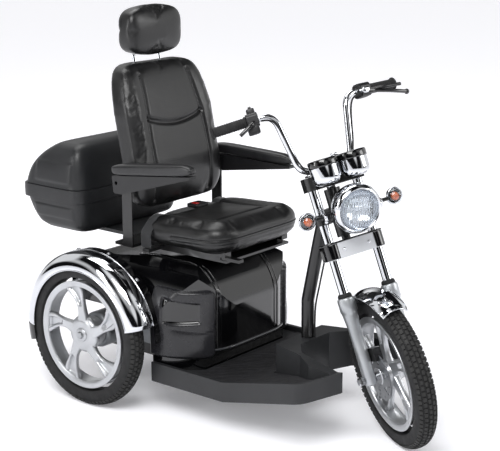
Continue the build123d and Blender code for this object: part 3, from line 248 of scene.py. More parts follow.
def woven_strap():
    """Polyester webbing: ribs 2 mm apart drawn across its width."""
    made, tree, coords = new_material("woven webbing")
    ribs = add_node(
        tree, "ShaderNodeTexWave", {"Vector": coords, "Scale": 1000 / 12, "Distortion": 0.4, "Detail": 2.0},
        bands_direction="X")
    shader = add_node(
        tree, "ShaderNodeBsdfPrincipled",
        {"Base Color": blotch(tree, coords, 20, "17181a", "222326"), "Roughness": 0.72, "Sheen Weight": 0.3,
         "Sheen Roughness": 0.4},
    )
    finish_material(tree, shader, bump(tree, ribs.outputs["Fac"], 0.4, 0.4))
    return made


def clear_lens(name, tint):
    """Pressed polycarbonate or glass: clear, slightly tinted."""
    made, tree, coords = new_material(name)
    haze = rough_patches(tree, coords, 30, 0.0, 0.04)
    shader = add_node(
        tree, "ShaderNodeBsdfPrincipled",
        {"Base Color": linear(tint), "Roughness": haze, "IOR": 1.5, "Transmission Weight": 1.0},
    )
    finish_material(tree, shader)
    return made


def coloured_gloss(name, dark, light, roughness=0.2):
    """Tinted gloss plastic, such as a lamp lens, a bulb or a button."""
    made, tree, coords = new_material(name)
    shader = add_node(
        tree, "ShaderNodeBsdfPrincipled",
        {"Base Color": blotch(tree, coords, 12, dark, light), "Roughness": roughness, "IOR": 1.5,
         "Coat Weight": 0.3, "Coat Roughness": 0.05},
    )
    finish_material(tree, shader)
    return made


def swirl_mat():
    """Moulded rubber mat: raised swirling ribs 9 mm apart in a matt black sheet."""
    made, tree, coords = new_material("ribbed rubber mat")
    swirl = add_node(
        tree, "ShaderNodeTexWave",
        {"Vector": coords, "Scale": 1000 / 62, "Distortion": 7.0, "Detail": 1.0, "Detail Scale": 0.5},
        bands_direction="DIAGONAL")
    ribs = add_node(tree, "ShaderNodeMapRange",
                    {"Value": swirl.outputs["Fac"], "From Min": 0.55, "From Max": 0.75, "To Min": 0.0,
                     "To Max": 1.0})
    shader = add_node(
        tree, "ShaderNodeBsdfPrincipled",
        {"Base Color": blotch(tree, coords, 30, "19191b", "242427"),
         "Roughness": rough_patches(tree, coords, 18, 0.5, 0.66), "IOR": 1.5},
    )
    finish_material(tree, shader, bump(tree, ribs.outputs["Result"], 0.8, 1.2))
    return made


MATERIALS = {}


def material(name):
    """The finish of that name, made the first time it is asked for."""
    makers = {
        "chrome": plated_chrome,
        "alloy": lambda: cast_alloy("silver lacquered casting", "b4b6b9", "c6c8cb", 0.28),
        "slider alloy": lambda: cast_alloy("satin fork casting", "a9acaf", "bcbfc2", 0.34),
        "casing alloy": lambda: cast_alloy("bare motor casing", "7f8285", "96999c", 0.42),
        "steel": brushed_steel,
        "black enamel": lambda: enamel("black frame enamel", "0d0d0e", "151516", 0.28, 0.3),
        "silver enamel": lambda: enamel("silver plate enamel", "bfc1c5", "cdcfd3", 0.3, 0.25),
        "gloss black": lambda: enamel("polished black moulding", "050506", "08080a", 0.07, 0.7),
        # the foot lip is gloss black like the shroud; this lighter grey is a painted highlight standing in for the
        # reflection along its rounded top
        "lip painted highlight": lambda: enamel("foot lip painted highlight", "3a3b3e", "46474a", 0.12, 0.8),
        "charcoal plastic": lambda: grained_plastic("charcoal ABS moulding", "1f2022", "27282a", 0.42, 2.4,
                                                    0.25),
        "case plastic": lambda: grained_plastic("luggage case ABS", "17181a", "1f2022", 0.38, 2.2, 0.25),
        "satin plastic": lambda: grained_plastic("satin black ABS", "121214", "1a1a1c", 0.34, 2.0, 0.2),
        "cheek plastic": lambda: grained_plastic("side cover ABS", "1c1c1f", "242427", 0.24, 2.0, 0.12),
        "tyre": lambda: tyre_rubber("tyre rubber", "1a1a1b", "242425"),
        "tread": lambda: tyre_rubber("tread rubber", "232323", "2f2f2e"),
        "rubber": lambda: tyre_rubber("soft rubber", "141415", "1d1d1e"),
        "leather": lambda: soft_leather("black upholstery hide", "0b0b0c", "131314", 0.31),
        "piping": lambda: soft_leather("upholstery welt", "0e0e0f", "171718", 0.29),
        "pad skin": lambda: soft_leather("self-skinned foam", "131315", "1d1d1f", 0.3),
        "webbing": woven_strap,
        "clear": lambda: clear_lens("clear lamp glass", "eef2f5"),
        "amber bulb": lambda: coloured_gloss("amber bulb", "d85a2a", "f0834a"),
        "bulb glass": lambda: clear_lens("frosted bulb glass", "f4f4f0"),
        "dial black": lambda: coloured_gloss("black dial card", "0c0c0d", "121213", 0.5),
        "red lens": lambda: coloured_gloss("red lamp lens", "7d0a0c", "98100f"),
        "red button": lambda: coloured_gloss("red buckle button", "9c1414", "b81c1a", 0.35),
        "dial white": lambda: coloured_gloss("printed dial card", "e6e6e2", "f2f2ee", 0.5),
        "mat": swirl_mat,
    }
    if name not in MATERIALS:
        MATERIALS[name] = makers[name]()
    return MATERIALS[name]


def dress(node, finish):
    """Gives a frame node its finish in place of the plain one."""
    slots = frame["nodes"][node].data.materials
    slots.clear()
    slots.append(material(finish))


# ---------------------------------------------------------------- surfaces
def grid_faces(rows, columns, wrap_rows=False, wrap_columns=False):
    """Quads of a rows by columns grid of points, joined round where it wraps."""
    i = np.arange(rows if wrap_rows else rows - 1)
    j = np.arange(columns if wrap_columns else columns - 1)
    i, j = np.meshgrid(i, j, indexing="ij")
    i, j = i.ravel(), j.ravel()
    after_i, after_j = (i + 1) % rows, (j + 1) % columns
    return np.stack([i * columns + j, after_i * columns + j, after_i * columns + after_j,
                     i * columns + after_j], 1)


def unit(vectors):
    """Vectors divided by their lengths."""
    return vectors / np.maximum(np.linalg.norm(vectors, axis=-1, keepdims=True), 1e-12)


def new_piece(name, points, faces, finish, body, smooth=True, flip=False):
    """A mesh object from point and face arrays, outward faces, its finish and its body."""
    points = np.asarray(points, float).reshape(-1, 3)
    faces = [face[::-1] if flip else face for face in np.asarray(faces).tolist()]
    mesh = bpy.data.meshes.new(name)
    mesh.from_pydata(points.tolist(), [], faces)
    mesh.validate()
    if smooth:
        mesh.shade_smooth()
    mesh.materials.append(material(finish))
    piece = bpy.data.objects.new(name, mesh)
    bpy.context.scene.collection.objects.link(piece)
    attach(piece, body)
    return piece


def outward(piece):
    """Turns every face of a closed mesh outwards, by its signed volume."""
    mesh = piece.data
    mesh.calc_loop_triangles()
    corners = np.zeros(len(mesh.loop_triangles) * 3, np.int32)
    mesh.loop_triangles.foreach_get("vertices", corners)
    points = np.zeros(len(mesh.vertices) * 3, np.float32)
    mesh.vertices.foreach_get("co", points)
    a, b, c = np.moveaxis(points.reshape(-1, 3)[corners.reshape(-1, 3)], 1, 0)
    if np.einsum("ij,ij->i", a, np.cross(b, c)).sum() < 0:
        mesh.flip_normals()
    return piece


def basis(axis, up=(0, 0, 1)):
    """Three unit vectors: the axis, one square to it and to up, and the third."""
    along = unit(np.array(axis, float))
    side = unit(np.cross(np.array(up, float), along))
    return along, side, np.cross(along, side)


def turned(profile, centre, axis, steps=96, up=(0, 0, 1)):
    """Surface of revolution: point = centre + w*axis + r*(cos t * side + sin t * third), for (r, w) rows."""
    along, side, third = basis(axis, up)
    r, w = np.asarray(profile, float).T
    t = np.linspace(0, 2 * np.pi, steps, endpoint=False)
    ring = np.cos(t)[:, None] * side + np.sin(t)[:, None] * third
    points = np.array(centre) + w[None, :, None] * along + r[None, :, None] * ring[:, None, :]
    return points, grid_faces(steps, len(r), wrap_rows=True)


def turned_piece(name, profile, centre, axis, finish, body, steps=64, closed=False):
    """A lathe-turned piece; a closed profile is a ring's section, an open one starts and ends on the axis."""
    points, faces = turned(profile, centre, axis, steps)
    if closed:
        faces = grid_faces(steps, len(profile), wrap_rows=True, wrap_columns=True)
    piece = new_piece(name, points, faces, finish, body)
    weld(piece)
    return outward(piece)


def weld(piece, distance=1e-6):
    """Merges points that lie on each other, so that poles and seams are closed."""
    import bmesh
    work = bmesh.new()
    work.from_mesh(piece.data)
    bmesh.ops.remove_doubles(work, verts=work.verts, dist=distance)
    bmesh.ops.dissolve_degenerate(work, edges=work.edges, dist=distance)
    work.to_mesh(piece.data)
    work.free()
    return piece


def repeated(points, faces, centres, rights, forwards, ups):
    """Copies of a small mesh: p = centre + x*right + y*forward + z*up for every placement."""
    points = np.asarray(points, float)
    axes = np.stack([rights, forwards, ups], 1)
    placed = centres[:, None, :] + np.einsum("pk,nkc->npc", points, axes)
    shift = np.arange(len(centres))[:, None, None] * len(points)
    return placed.reshape(-1, 3), (np.asarray(faces)[None] + shift).reshape(-1, np.asarray(faces).shape[1])


def swept(path, half_width, half_height, ups, round_power=4.0, steps=16, closed=False):
    """A strip or bar carried along a path: section |x/a|^p + |z/b|^p = 1, with z along the given ups."""
    path = np.asarray(path, float)
    ahead = unit(np.gradient(path, axis=0))
    if closed:
        ahead = unit(np.roll(path, -1, 0) - np.roll(path, 1, 0))
    side = unit(np.cross(ahead, ups))
    up = unit(np.cross(side, ahead))
    t = np.linspace(0, 2 * np.pi, steps, endpoint=False)
    x = np.sign(np.cos(t)) * np.abs(np.cos(t)) ** (2 / round_power)
    z = np.sign(np.sin(t)) * np.abs(np.sin(t)) ** (2 / round_power)
    a = np.broadcast_to(np.asarray(half_width, float), (len(path),))
    b = np.broadcast_to(np.asarray(half_height, float), (len(path),))
    points = path[:, None] + a[:, None, None] * x[None, :, None] * side[:, None] \
        + b[:, None, None] * z[None, :, None] * up[:, None]
    faces = grid_faces(len(path), steps, wrap_rows=closed, wrap_columns=True).tolist()
    if not closed:
        faces.append(list(range(steps)))
        faces.append(list(range((len(path) - 1) * steps, len(path) * steps))[::-1])
    return points.reshape(-1, 3), faces


def swept_piece(name, path, half_width, half_height, ups, finish, body, slot, **shape):
    """A finished strip, bar or welt along a path."""
    points, faces = swept(path, half_width, half_height, ups, **shape)
    mesh = bpy.data.meshes.new(name)
    mesh.from_pydata(points.tolist(), [], [list(face) for face in faces])
    mesh.shade_smooth()
    mesh.materials.append(material(finish))
    piece = bpy.data.objects.new(name, mesh)
    bpy.context.scene.collection.objects.link(piece)
    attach(piece, body)
    return outward(piece)


def smooth_line(points, count, closed=False):
    """Catmull-Rom curve through points, sampled evenly in its parameter."""
    points = np.asarray(points, float)
    n = len(points)
    spans = n if closed else n - 1
    t = np.linspace(0, spans, count, endpoint=not closed)
    k = np.minimum(t.astype(int), spans - 1)
    f = (t - k)[:, None]
    take = (lambda i: points[i % n]) if closed else (lambda i: points[np.clip(i, 0, n - 1)])
    a, b, c, d = take(k - 1), take(k), take(k + 1), take(k + 2)
    return 0.5 * (2 * b + (c - a) * f + (2 * a - 5 * b + 4 * c - d) * f ** 2 + (3 * b - a - 3 * c + d) * f ** 3)


# ---------------------------------------------------------------- places
def fork_axes():
    """Foot of the steering axis and the fork's own side, back and up directions, as it is parked."""
    spin = np.array(JOINTS["front_wheel_spin"]["axis"])
    up = np.array(JOINTS["steering_turn"]["axis"])
    return np.array(JOINTS["steering_turn"]["pos_m"]), spin, unit(np.cross(up, spin)), up


def on_fork(points_mm):
    """Points given in the fork's frame in millimetres, as places in metres."""
    foot, side, back, up = fork_axes()
    points = np.atleast_2d(np.asarray(points_mm, float)) * MM
    return foot + points[:, :1] * side + points[:, 1:2] * back + points[:, 2:3] * up


def fork_way(vector):
    """A direction given in the fork's frame."""
    _, side, back, up = fork_axes()
    return vector[0] * side + vector[1] * back + vector[2] * up


# ---------------------------------------------------------------- sizes and colours that a user would change
class ScooterTyreSettings(bpy.types.PropertyGroup):
    tread_height: bpy.props.FloatProperty(
        name="Tread height", description="How far the tread blocks stand out of the casing",
        default=0.004, min=0.001, max=0.008, unit="LENGTH")
    tread_pitch: bpy.props.FloatProperty(
        name="Tread pitch", description="Distance from one tread block to the next round the tyre",
        default=0.0185, min=0.01, max=0.04, unit="LENGTH")


class ScooterUpholsterySettings(bpy.types.PropertyGroup):
    swell: bpy.props.FloatProperty(
        name="Swell limit", description="How far the stuffing may push the cover out",
        default=0.007, min=0.0, max=0.03, unit="LENGTH")
    welt: bpy.props.FloatProperty(
        name="Welt radius", description="Radius of the piped seams",
        default=0.0024, min=0.001, max=0.006, unit="LENGTH")


class ScooterStudioSettings(bpy.types.PropertyGroup):
    floor_colour: bpy.props.FloatVectorProperty(
        name="Floor colour", description="Colour of the floor and the backdrop", subtype="COLOR", size=4,
        default=linear("f1f1f4"), min=0.0, max=1.0)


# ---------------------------------------------------------------- operators
FINISHES = {
    "chrome": ["fork_tube_left", "fork_tube_right", "front_fender", "headlamp_shell", "dial_housing",
               "handlebar",
               "rear_fender_left", "rear_fender_right", "headrest_posts"],
    "alloy": ["rear_rim_left", "rear_rim_right", "front_rim"],
    "slider alloy": ["fork_slider_left", "fork_slider_right"],
    "casing alloy": ["transaxle"],
    "steel": ["brake_disc", "front_axle"],
    "black enamel": ["chassis_frame", "fork_yokes", "lamp_bracket", "seat_frame", "brake_caliper"],
    "silver enamel": ["yoke_cover"],
    "gloss black": ["body_shroud", "inner_fender_left", "inner_fender_right"],
    "charcoal plastic": ["footboard"],
    "cheek plastic": ["side_cover_left", "side_cover_right"],
    "case plastic": ["case_tub", "case_lid", "case_plate"],
    "satin plastic": ["armrest_panel_left", "armrest_panel_right", "control_left", "control_right"],
    "rubber": ["grip_left", "grip_right"],
    "clear": ["headlamp_lens", "turn_signal_left", "turn_signal_right"],
    "red lens": ["rear_lamp"],
    "mat": ["floor_mat"],
}


class SCOOTER_OT_finishes(bpy.types.Operator):
    """Give every hard part of the frame its finish"""
    bl_idname = "scooter.finishes"
    bl_label = "Finishes of the hard parts"

    def execute(self, context):
        for finish, nodes in FINISHES.items():
            for node in nodes:
                dress(node, finish)
        return {"FINISHED"}


def tyre_section(radius, half_width, bead):
    """Casing section as (r, w) rows: bead, bulged wall |w/h|^2.4 + |s|^2.4 = 1, rounded crown, and back."""
    t = np.linspace(-np.pi * 0.62, np.pi * 0.62, 41)
    middle = (radius + bead) / 2
    height = (radius - bead) / 2
    w = half_width * np.sign(np.sin(t)) * np.abs(np.sin(t)) ** (2 / 2.4)
    r = middle + height * np.sign(np.cos(t)) * np.abs(np.cos(t)) ** (2 / 2.4)
    return np.stack([r, w], 1)


def build_tyre(name, centre, axis, body, context):
    """Casing and tread: blocks sit on the crown in five rows, each next row half a pitch round."""
    sizes = context.scene.scooter_tyres
    lift = sizes.tread_height
    section = tyre_section(0.250 - lift, 0.0310, 0.178)
    casing = turned_piece(f"{name}_casing", section, centre, axis, "tyre", body, 96, closed=True)
    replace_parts(casing, name)
    rows = np.array([-2, -1, 0, 1, 2])
    pitch_count = int(round(2 * math.pi * 0.25 / sizes.tread_pitch))
    step = 2 * np.pi / pitch_count
    arc = np.concatenate([[0], np.cumsum(np.linalg.norm(np.diff(section, axis=0), axis=1))])
    arc = arc - arc[len(arc) // 2]
    slope = unit(np.gradient(section, axis=0))
    u = np.array([-1, -1, -1, 0, 0, 0, 1, 1, 1]) * 0.42
    v = np.array([-1, 0, 1, -1, 0, 1, -1, 0, 1]) * 0.5
    low = np.stack([u, v, np.full(9, -0.2)], 1)
    high = np.stack([u * 0.86, v * 0.84, np.ones(9)], 1)
    block = np.concatenate([low, high])
    top = grid_faces(3, 3) + 9
    rim_loop = np.array([0, 3, 6, 7, 8, 5, 2, 1])
    walls = np.stack([rim_loop, np.roll(rim_loop, -1), np.roll(rim_loop, -1) + 9, rim_loop + 9], 1)
    faces = np.concatenate([top[:, ::-1], walls])
    widths = np.array([0.0122, 0.0098, 0.0098, 0.0098, 0.0122])
    offsets = np.array([-0.0275, -0.0132, 0.0, 0.0132, 0.0275])
    along, side, third = basis(axis)
    pieces, joined = [], 0
    all_faces = []
    for row, width, offset in zip(rows, widths, offsets):
        angle = (np.arange(pitch_count) + 0.5 * (row % 2)) * step
        s = offset + block[:, 1] * width
        r = np.interp(s, arc, section[:, 0])
        w = np.interp(s, arc, section[:, 1])
        dr, dw = np.interp(s, arc, slope[:, 0]), np.interp(s, arc, slope[:, 1])
        out_r, out_w = dw, -dr
        r = r + out_r * block[:, 2] * lift
        w = w + out_w * block[:, 2] * lift
        t = angle[:, None] + block[:, 0][None] * step * 0.98
        points = np.array(centre) + w[None, :, None] * along \
            + r[None, :, None] * (np.cos(t)[..., None] * side + np.sin(t)[..., None] * third)
        pieces.append(points.reshape(-1, 3))
        shift = joined + np.arange(pitch_count)[:, None, None] * len(block)
        all_faces.append((faces[None] + shift).reshape(-1, 4))
        joined += pitch_count * len(block)
    tread = new_piece(f"{name}_tread", np.concatenate(pieces), np.concatenate(all_faces), "tread", body,
                      smooth=False)
    return casing, outward(tread)


class SCOOTER_OT_tyres(bpy.types.Operator):
    """Mould the three tyres with their block tread"""
    bl_idname = "scooter.tyres"
    bl_label = "Tyres"

    def execute(self, context):
        for node, joint, body in (
            ("rear_tyre_left", "rear_wheel_left_spin", "rear_wheel_left"),
            ("rear_tyre_right", "rear_wheel_right_spin", "rear_wheel_right"),
            ("front_tyre", "front_wheel_spin", "front_wheel"),
        ):
            build_tyre(node, JOINTS[joint]["pos_m"], JOINTS[joint]["axis"], body, context)
        return {"FINISHED"}


def pillow(half_x, half_y, half_z, power_plan, power_side, rows=40, columns=72):
    """Rounded block: superellipsoid with |x/a|^p + |y/b|^p = s^p in plan, and s^q + |z/c|^q = 1 up its side."""
    v = np.linspace(-np.pi / 2, np.pi / 2, rows)
    u = np.linspace(0, 2 * np.pi, columns, endpoint=False)
    z = np.sign(np.sin(v)) * np.abs(np.sin(v)) ** (2 / power_side)
    s = np.abs(np.cos(v)) ** (2 / power_side)
    x = np.sign(np.cos(u)) * np.abs(np.cos(u)) ** (2 / power_plan)
    y = np.sign(np.sin(u)) * np.abs(np.sin(u)) ** (2 / power_plan)
    points = np.stack([
        half_x * s[:, None] * x[None], half_y * s[:, None] * y[None],
        half_z * np.repeat(z[:, None], columns, 1),
    ], -1)
    return points.reshape(-1, 3), grid_faces(rows, columns, wrap_columns=True)


def step_up(x, start, end):
    """Smooth step 3t^2 - 2t^3 from start to end."""
    t = np.clip((x - start) / (end - start), 0, 1)
    return t * t * (3 - 2 * t)


def read_points(mesh):
    """All points of a mesh as an array."""
    points = np.zeros(len(mesh.vertices) * 3, np.float32)
    mesh.vertices.foreach_get("co", points)
    return points.reshape(-1, 3).astype(float)


def stuff(piece, voxel, cap, pressure=4.0, frames=20):
    """Remeshes the cover evenly, swells it with the cloth solver, and holds each point within cap of its start."""
    scene = bpy.context.scene
    remesh = piece.modifiers.new("even weave", "REMESH")
    remesh.mode = "VOXEL"
    remesh.voxel_size = voxel
    bake_modifiers(piece)
    start = read_points(piece.data)
    cloth = piece.modifiers.new("stuffing", "CLOTH")
    cloth.settings.use_pressure = True
    cloth.settings.uniform_pressure_force = pressure
    cloth.settings.effector_weights.gravity = 0
    cloth.settings.quality = 4
    cloth.point_cache.frame_start = 1
    cloth.point_cache.frame_end = frames
    for number in range(1, frames + 1):
        scene.frame_set(number)
    depsgraph = bpy.context.evaluated_depsgraph_get()
    swollen = read_points(piece.evaluated_get(depsgraph).to_mesh())
    piece.modifiers.clear()
    scene.frame_set(1)
    move = swollen - start
    far = np.linalg.norm(move, axis=1, keepdims=True)
    points = start + move * np.minimum(1, cap / np.maximum(far, 1e-9))
    piece.data.vertices.foreach_set("co", points.astype(np.float32).ravel())
    piece.data.update()
    return piece


def bake_modifiers(piece):
    """Replaces the mesh by its finished form and clears the modifiers."""
    depsgraph = bpy.context.evaluated_depsgraph_get()
    finished = bpy.data.meshes.new_from_object(piece.evaluated_get(depsgraph))
    piece.modifiers.clear()
    piece.data = finished
    piece.data.shade_smooth()
    return piece


def press_seam(piece, path, depth, width):
    """Draws the cover in along a sewn line: depth * exp(-(d/width)^2) against each point's normal."""
    points = read_points(piece.data)
    normals = np.zeros(len(points) * 3, np.float32)
    piece.data.vertex_normals.foreach_get("vector", normals)
    normals = normals.reshape(-1, 3)
    path = np.asarray(path, float)
    near = np.where(
        (points >= path.min(0) - 4 * width).all(1) & (points <= path.max(0) + 4 * width).all(1))[0]
    if len(near):
        gaps = np.full(len(near), 1e9)
        for part in np.array_split(path, max(1, len(path) // 40)):
            gaps = np.minimum(gaps, np.linalg.norm(points[near][:, None] - part[None], axis=2).min(1))
        points[near] -= normals[near] * (depth * np.exp(-(gaps / width) ** 2))[:, None]
        piece.data.vertices.foreach_set("co", points.astype(np.float32).ravel())
        piece.data.update()
    return piece


def cast_on(piece, starts, way):
    """Points where rays from starts along way meet the cover; rays that miss are dropped."""
    way = Vector(way).normalized()
    found = []
    for start in starts:
        hit, place, _, _ = piece.ray_cast(Vector(start), way)
        if hit:
            found.append(place[:])
    return np.array(found)


def refine(piece):
    """One level of subdivision, applied."""
    divide = piece.modifiers.new("finer", "SUBSURF")
    divide.levels = 1
    divide.render_levels = 1
    return bake_modifiers(piece)


def cushion_local(points_mm):
    """Points in the cushion's own frame in millimetres, as places in metres, leant back by CUSHION_TILT."""
    points = np.atleast_2d(np.asarray(points_mm, float)) * MM
    y = points[:, 1] * math.cos(CUSHION_TILT) + points[:, 2] * math.sin(CUSHION_TILT)
    z = -points[:, 1] * math.sin(CUSHION_TILT) + points[:, 2] * math.cos(CUSHION_TILT)
    return np.stack([points[:, 0], y + CUSHION_REAR_Y, z + CUSHION_BASE_Z], 1)


class SCOOTER_OT_seat_cushion(bpy.types.Operator):
    """Upholster the cushion: raised sides, a rolled front edge, sewn panels"""
    bl_idname = "scooter.seat_cushion"
    bl_label = "Cushion"

    def execute(self, context):
        sizes = context.scene.scooter_upholstery
        points, faces = pillow(1, 1, 1, 5.5, 3.2)
        x, y, z = points.T
        top = step_up(z, -0.2, 0.9)
        bolster = step_up(np.abs(x), 0.5, 0.78) * (1 - step_up(np.abs(x), 0.93, 1.0))
        roll = np.exp(-((y + 0.78) / 0.22) ** 2)
        dish = np.exp(-((y - 0.15) / 0.5) ** 2) * (1 - step_up(np.abs(x), 0.4, 0.75))
        height = 46 + 46 * z + top * (10 * bolster + 5 * roll - 9 * dish)
        height = height - 9 * step_up(-y, -0.2, 0.6) * (1 - step_up(z, -1.0, -0.1))
        half = 232 * (1 - 0.03 * step_up(-y, 0.6, 1.0))
        local = np.stack([x * half, -187 + 186 * y, height], 1)
        piece = new_piece("cushion_cover", cushion_local(local), faces, "leather", "seat")
        weld(piece)
        outward(piece)
        stuff(piece, 0.006, sizes.swell)
        refine(piece)
        starts = cushion_local(np.stack([
            np.concatenate([np.full(30, 128.0), np.linspace(128, -128, 30)[1:-1], np.full(30, -128.0)]),
            np.concatenate([np.linspace(-40, -268, 30), np.full(28, -268.0), np.linspace(-268, -40, 30)]),
            np.full(88, 160.0)], 1))
        line = cast_on(piece, starts, (0, -math.sin(CUSHION_TILT), -math.cos(CUSHION_TILT)))
        press_seam(piece, line, 0.006, 0.007)
        for level, name in ((46, "upper"), (30, "lower")):
            t = np.linspace(0.02, np.pi - 0.02, 90)
            ring = np.stack([300 * np.cos(t), -120 - 340 * np.sin(t), np.full(90, float(level))], 1)
            origin = cushion_local([[0, -150, level]])[0]
            hits = []
            for start in cushion_local(ring):
                way = Vector(origin - start)
                hit, place, _, _ = piece.ray_cast(Vector(start), way.normalized())
                if hit:
                    hits.append(place[:])
            hits = smooth_line(np.array(hits)[::3], 160)
            press_seam(piece, hits, 0.0022, 0.004)
            if name == "upper":
                ups = np.tile([0.0, 0.0, 1.0], (len(hits), 1))
                welt = swept_piece("cushion_welt", hits, sizes.welt, sizes.welt, ups, "piping", "seat",
                                   "black_leather", round_power=2.0, steps=8)
                welt["part_of"] = "cushion"
        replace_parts(piece, "seat_cushion")
        return {"FINISHED"}


def back_face(z):
    """Rear line of the backrest in millimetres: nearly upright at the hips, leaning back higher up."""
    rise = np.maximum(0.0, z - 648)
    return 366 + 0.05 * rise + 0.0003 * rise * rise


class SCOOTER_OT_backrest(bpy.types.Operator):
    """Upholster the backrest: wings, a sewn centre panel and a lumbar seam"""
    bl_idname = "scooter.backrest"
    bl_label = "Backrest"

    def execute(self, context):
        sizes = context.scene.scooter_upholstery
        low, high = 652.0, 1140.0
        points, faces = pillow(1, 1, 1, 5.5, 6.5, 56, 80)
        x, y, z = points[:, 0], -points[:, 1], points[:, 2]
        level = (low + high) / 2 + (high - low) / 2 * z
        share = (level - low) / (high - low)
        half = 219 - 20 * step_up(share, 0.60, 1.0) - 8 * step_up(-share, -0.14, 0.0)
        wing = step_up(np.abs(x), 0.55, 0.85)
        thick = 82 + 14 * np.sin(np.pi * np.clip(share, 0, 1)) + 13 * wing * (1 - 0.3 * share)
        lumbar = 9 * np.exp(-((share - 0.28) / 0.2) ** 2)
        rear = back_face(level) - 3
        front = rear - thick - lumbar * (1 - wing)
        place_y = (rear + front) / 2 + y * (rear - front) / 2
        local = np.stack([x * half, place_y, level], 1) * MM
        piece = new_piece("backrest_cover", local, faces, "leather", "seat_back")
        weld(piece)
        outward(piece)
        stuff(piece, 0.006, sizes.swell)
        refine(piece)
        for side in (1, -1):
            zs = np.linspace(low + 36, high - 40, 60)
            xs = side * (138 - 22 * step_up((zs - low) / (high - low), 0.45, 1.0))
            starts = np.stack([xs, np.full(60, 100.0), zs], 1) * MM
            line = cast_on(piece, starts, (0, 1, 0))
            press_seam(piece, line, 0.006, 0.007)
        xs = np.linspace(-131, 131, 50)
        zs = low + 0.60 * (high - low) - 24 * (1 - (xs / 131) ** 2) + 14
        line = cast_on(piece, np.stack([xs, np.full(50, 100.0), zs], 1) * MM, (0, 1, 0))
        press_seam(piece, line, 0.009, 0.008)
        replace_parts(piece, "backrest")
        return {"FINISHED"}


class SCOOTER_OT_headrest(bpy.types.Operator):
    """Upholster the headrest pillow"""
    bl_idname = "scooter.headrest"
    bl_label = "Headrest"

    def execute(self, context):
        low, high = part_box("headrest")
        centre = np.array((low + high) / 2)
        half = np.array((high - low) / 2) - 0.002
        points, faces = pillow(half[0], half[1], half[2], 4.6, 3.9)
        points[:, 1] *= 1 - 0.12 * step_up(points[:, 2] / half[2], 0.2, 1.0)
        piece = new_piece("headrest_cover", points + centre, faces, "leather", "head_support")
        weld(piece)
        outward(piece)
        stuff(piece, 0.005, 0.006)
        refine(piece)
        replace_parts(piece, "headrest")
        return {"FINISHED"}


class SCOOTER_OT_armrests(bpy.types.Operator):
    """Mould the armrest pads"""
    bl_idname = "scooter.armrests"
    bl_label = "Armrest pads"

    def execute(self, context):
        for side, name in ((1, "left"), (-1, "right")):
            node = f"armrest_pad_{name}"
            tilt = math.radians(-1.7 if side > 0 else 6.5)
            points, faces = pillow(1, 1, 1, 7.0, 4.0, 28, 64)
            x, y, z = points.T
            taper = 1 - 0.14 * step_up(-y, 0.3, 1.0)
            local = np.stack([
                x * 21.5 * taper, (20 - 335) / 2 + y * 176,
                43 + 18.5 * z + 2.5 * np.exp(-(x / 0.7) ** 2) * (z > 0)
                - 4 * step_up(-y, 0.75, 1.0) * (z > 0)], 1)
            py = local[:, 1] * math.cos(tilt) + local[:, 2] * math.sin(tilt)
            pz = -local[:, 1] * math.sin(tilt) + local[:, 2] * math.cos(tilt)
            placed = np.stack([local[:, 0] + side * 256, py + 328, pz + 762], 1) * MM
            piece = new_piece(f"{node}_skin", placed, faces, "pad skin", f"arm_{name}")
            weld(piece)
            outward(piece)
            refine(piece)
            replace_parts(piece, node)
        return {"FINISHED"}


class SCOOTER_OT_lap_belt(bpy.types.Operator):
    """Lay the lap belt over the cushion, with its buckle"""
    bl_idname = "scooter.lap_belt"
    bl_label = "Lap belt"

    def execute(self, context):
        cover = bpy.data.objects["cushion_cover"]
        xs = np.linspace(-225, 225, 90)
        starts = cushion_local(np.stack([xs, np.full(90, -54.0), np.full(90, 170.0)], 1))
        over = []
        for start in starts:
            hit, place, _, _ = cover.ray_cast(Vector(start), Vector((0, 0, -1)))
            over.append([start[0], start[1], (place[2] if hit else 0.56) + 0.0022])
        over = np.array(over)
        over = over[(over[:, 2] > 0.60)]
        left = np.array([[-0.231, over[0, 1], CUSHION_BASE_Z], [-0.231, over[0, 1], 0.575],
                         [-0.2295, over[0, 1], 0.600]])
        right = left * [-1, 1, 1]
        path = smooth_line(np.concatenate([left, over[3:-3:4], right[::-1]]), 200)
        ahead = unit(np.gradient(path, axis=0))
        ups = np.cross(ahead, np.tile([0.0, 1.0, 0.0], (len(path), 1))) * -1
        belt = swept_piece("belt_webbing", path, 0.0225, 0.0011, ups, "webbing", "seat", "webbing",
                           round_power=6.0, steps=12)
        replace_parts(belt, "lap_belt")
        middle = path[np.argmin(np.abs(path[:, 0] - 0.030))] + np.array([0, 0, 0.0065])
        rounded_block("belt_buckle", middle, np.eye(3), (33, 25, 7), 6, "satin plastic", "seat")
        rounded_block("belt_button", middle + np.array([-0.012, 0, 0.0050]), np.eye(3), (9, 13, 4), 6,
                      "red button", "seat")
        return {"FINISHED"}


def star_profile(points, axis_point, axis, lobes, share):
    """Waves a turned mesh about its axis: r becomes r * (1 + share * cos(lobes * t))."""
    along, side, third = basis(axis)
    rel = points - axis_point
    w = rel @ along
    u, v = rel @ side, rel @ third
    grow = 1 + share * np.cos(lobes * np.arctan2(v, u))
    return axis_point + w[:, None] * along + (u * grow)[:, None] * side + (v * grow)[:, None] * third


def nut(name, centre, axis, radius, height, finish, body):
    """Hexagon nut or bolt head with a chamfered crown."""
    profile = np.array([(0, 0), (radius, 0), (radius, 0.75 * height), (0.82 * radius, height), (0, height)])
    piece = turned_piece(name, profile, centre, axis, finish, body, steps=6)
    piece.data.shade_flat()
    return piece


def round_head(name, centre, axis, radius, finish, body):
    """Domed bolt head on a thin washer."""
    t = np.linspace(0, np.pi / 2, 7)
    dome = np.stack([0.8 * radius * np.cos(t), 0.2 * radius + 0.5 * radius * np.sin(t)], 1)
    profile = np.concatenate([[(0, 0), (radius, 0), (radius, 0.2 * radius)], dome])
    return turned_piece(name, profile, centre, axis, finish, body, steps=24)


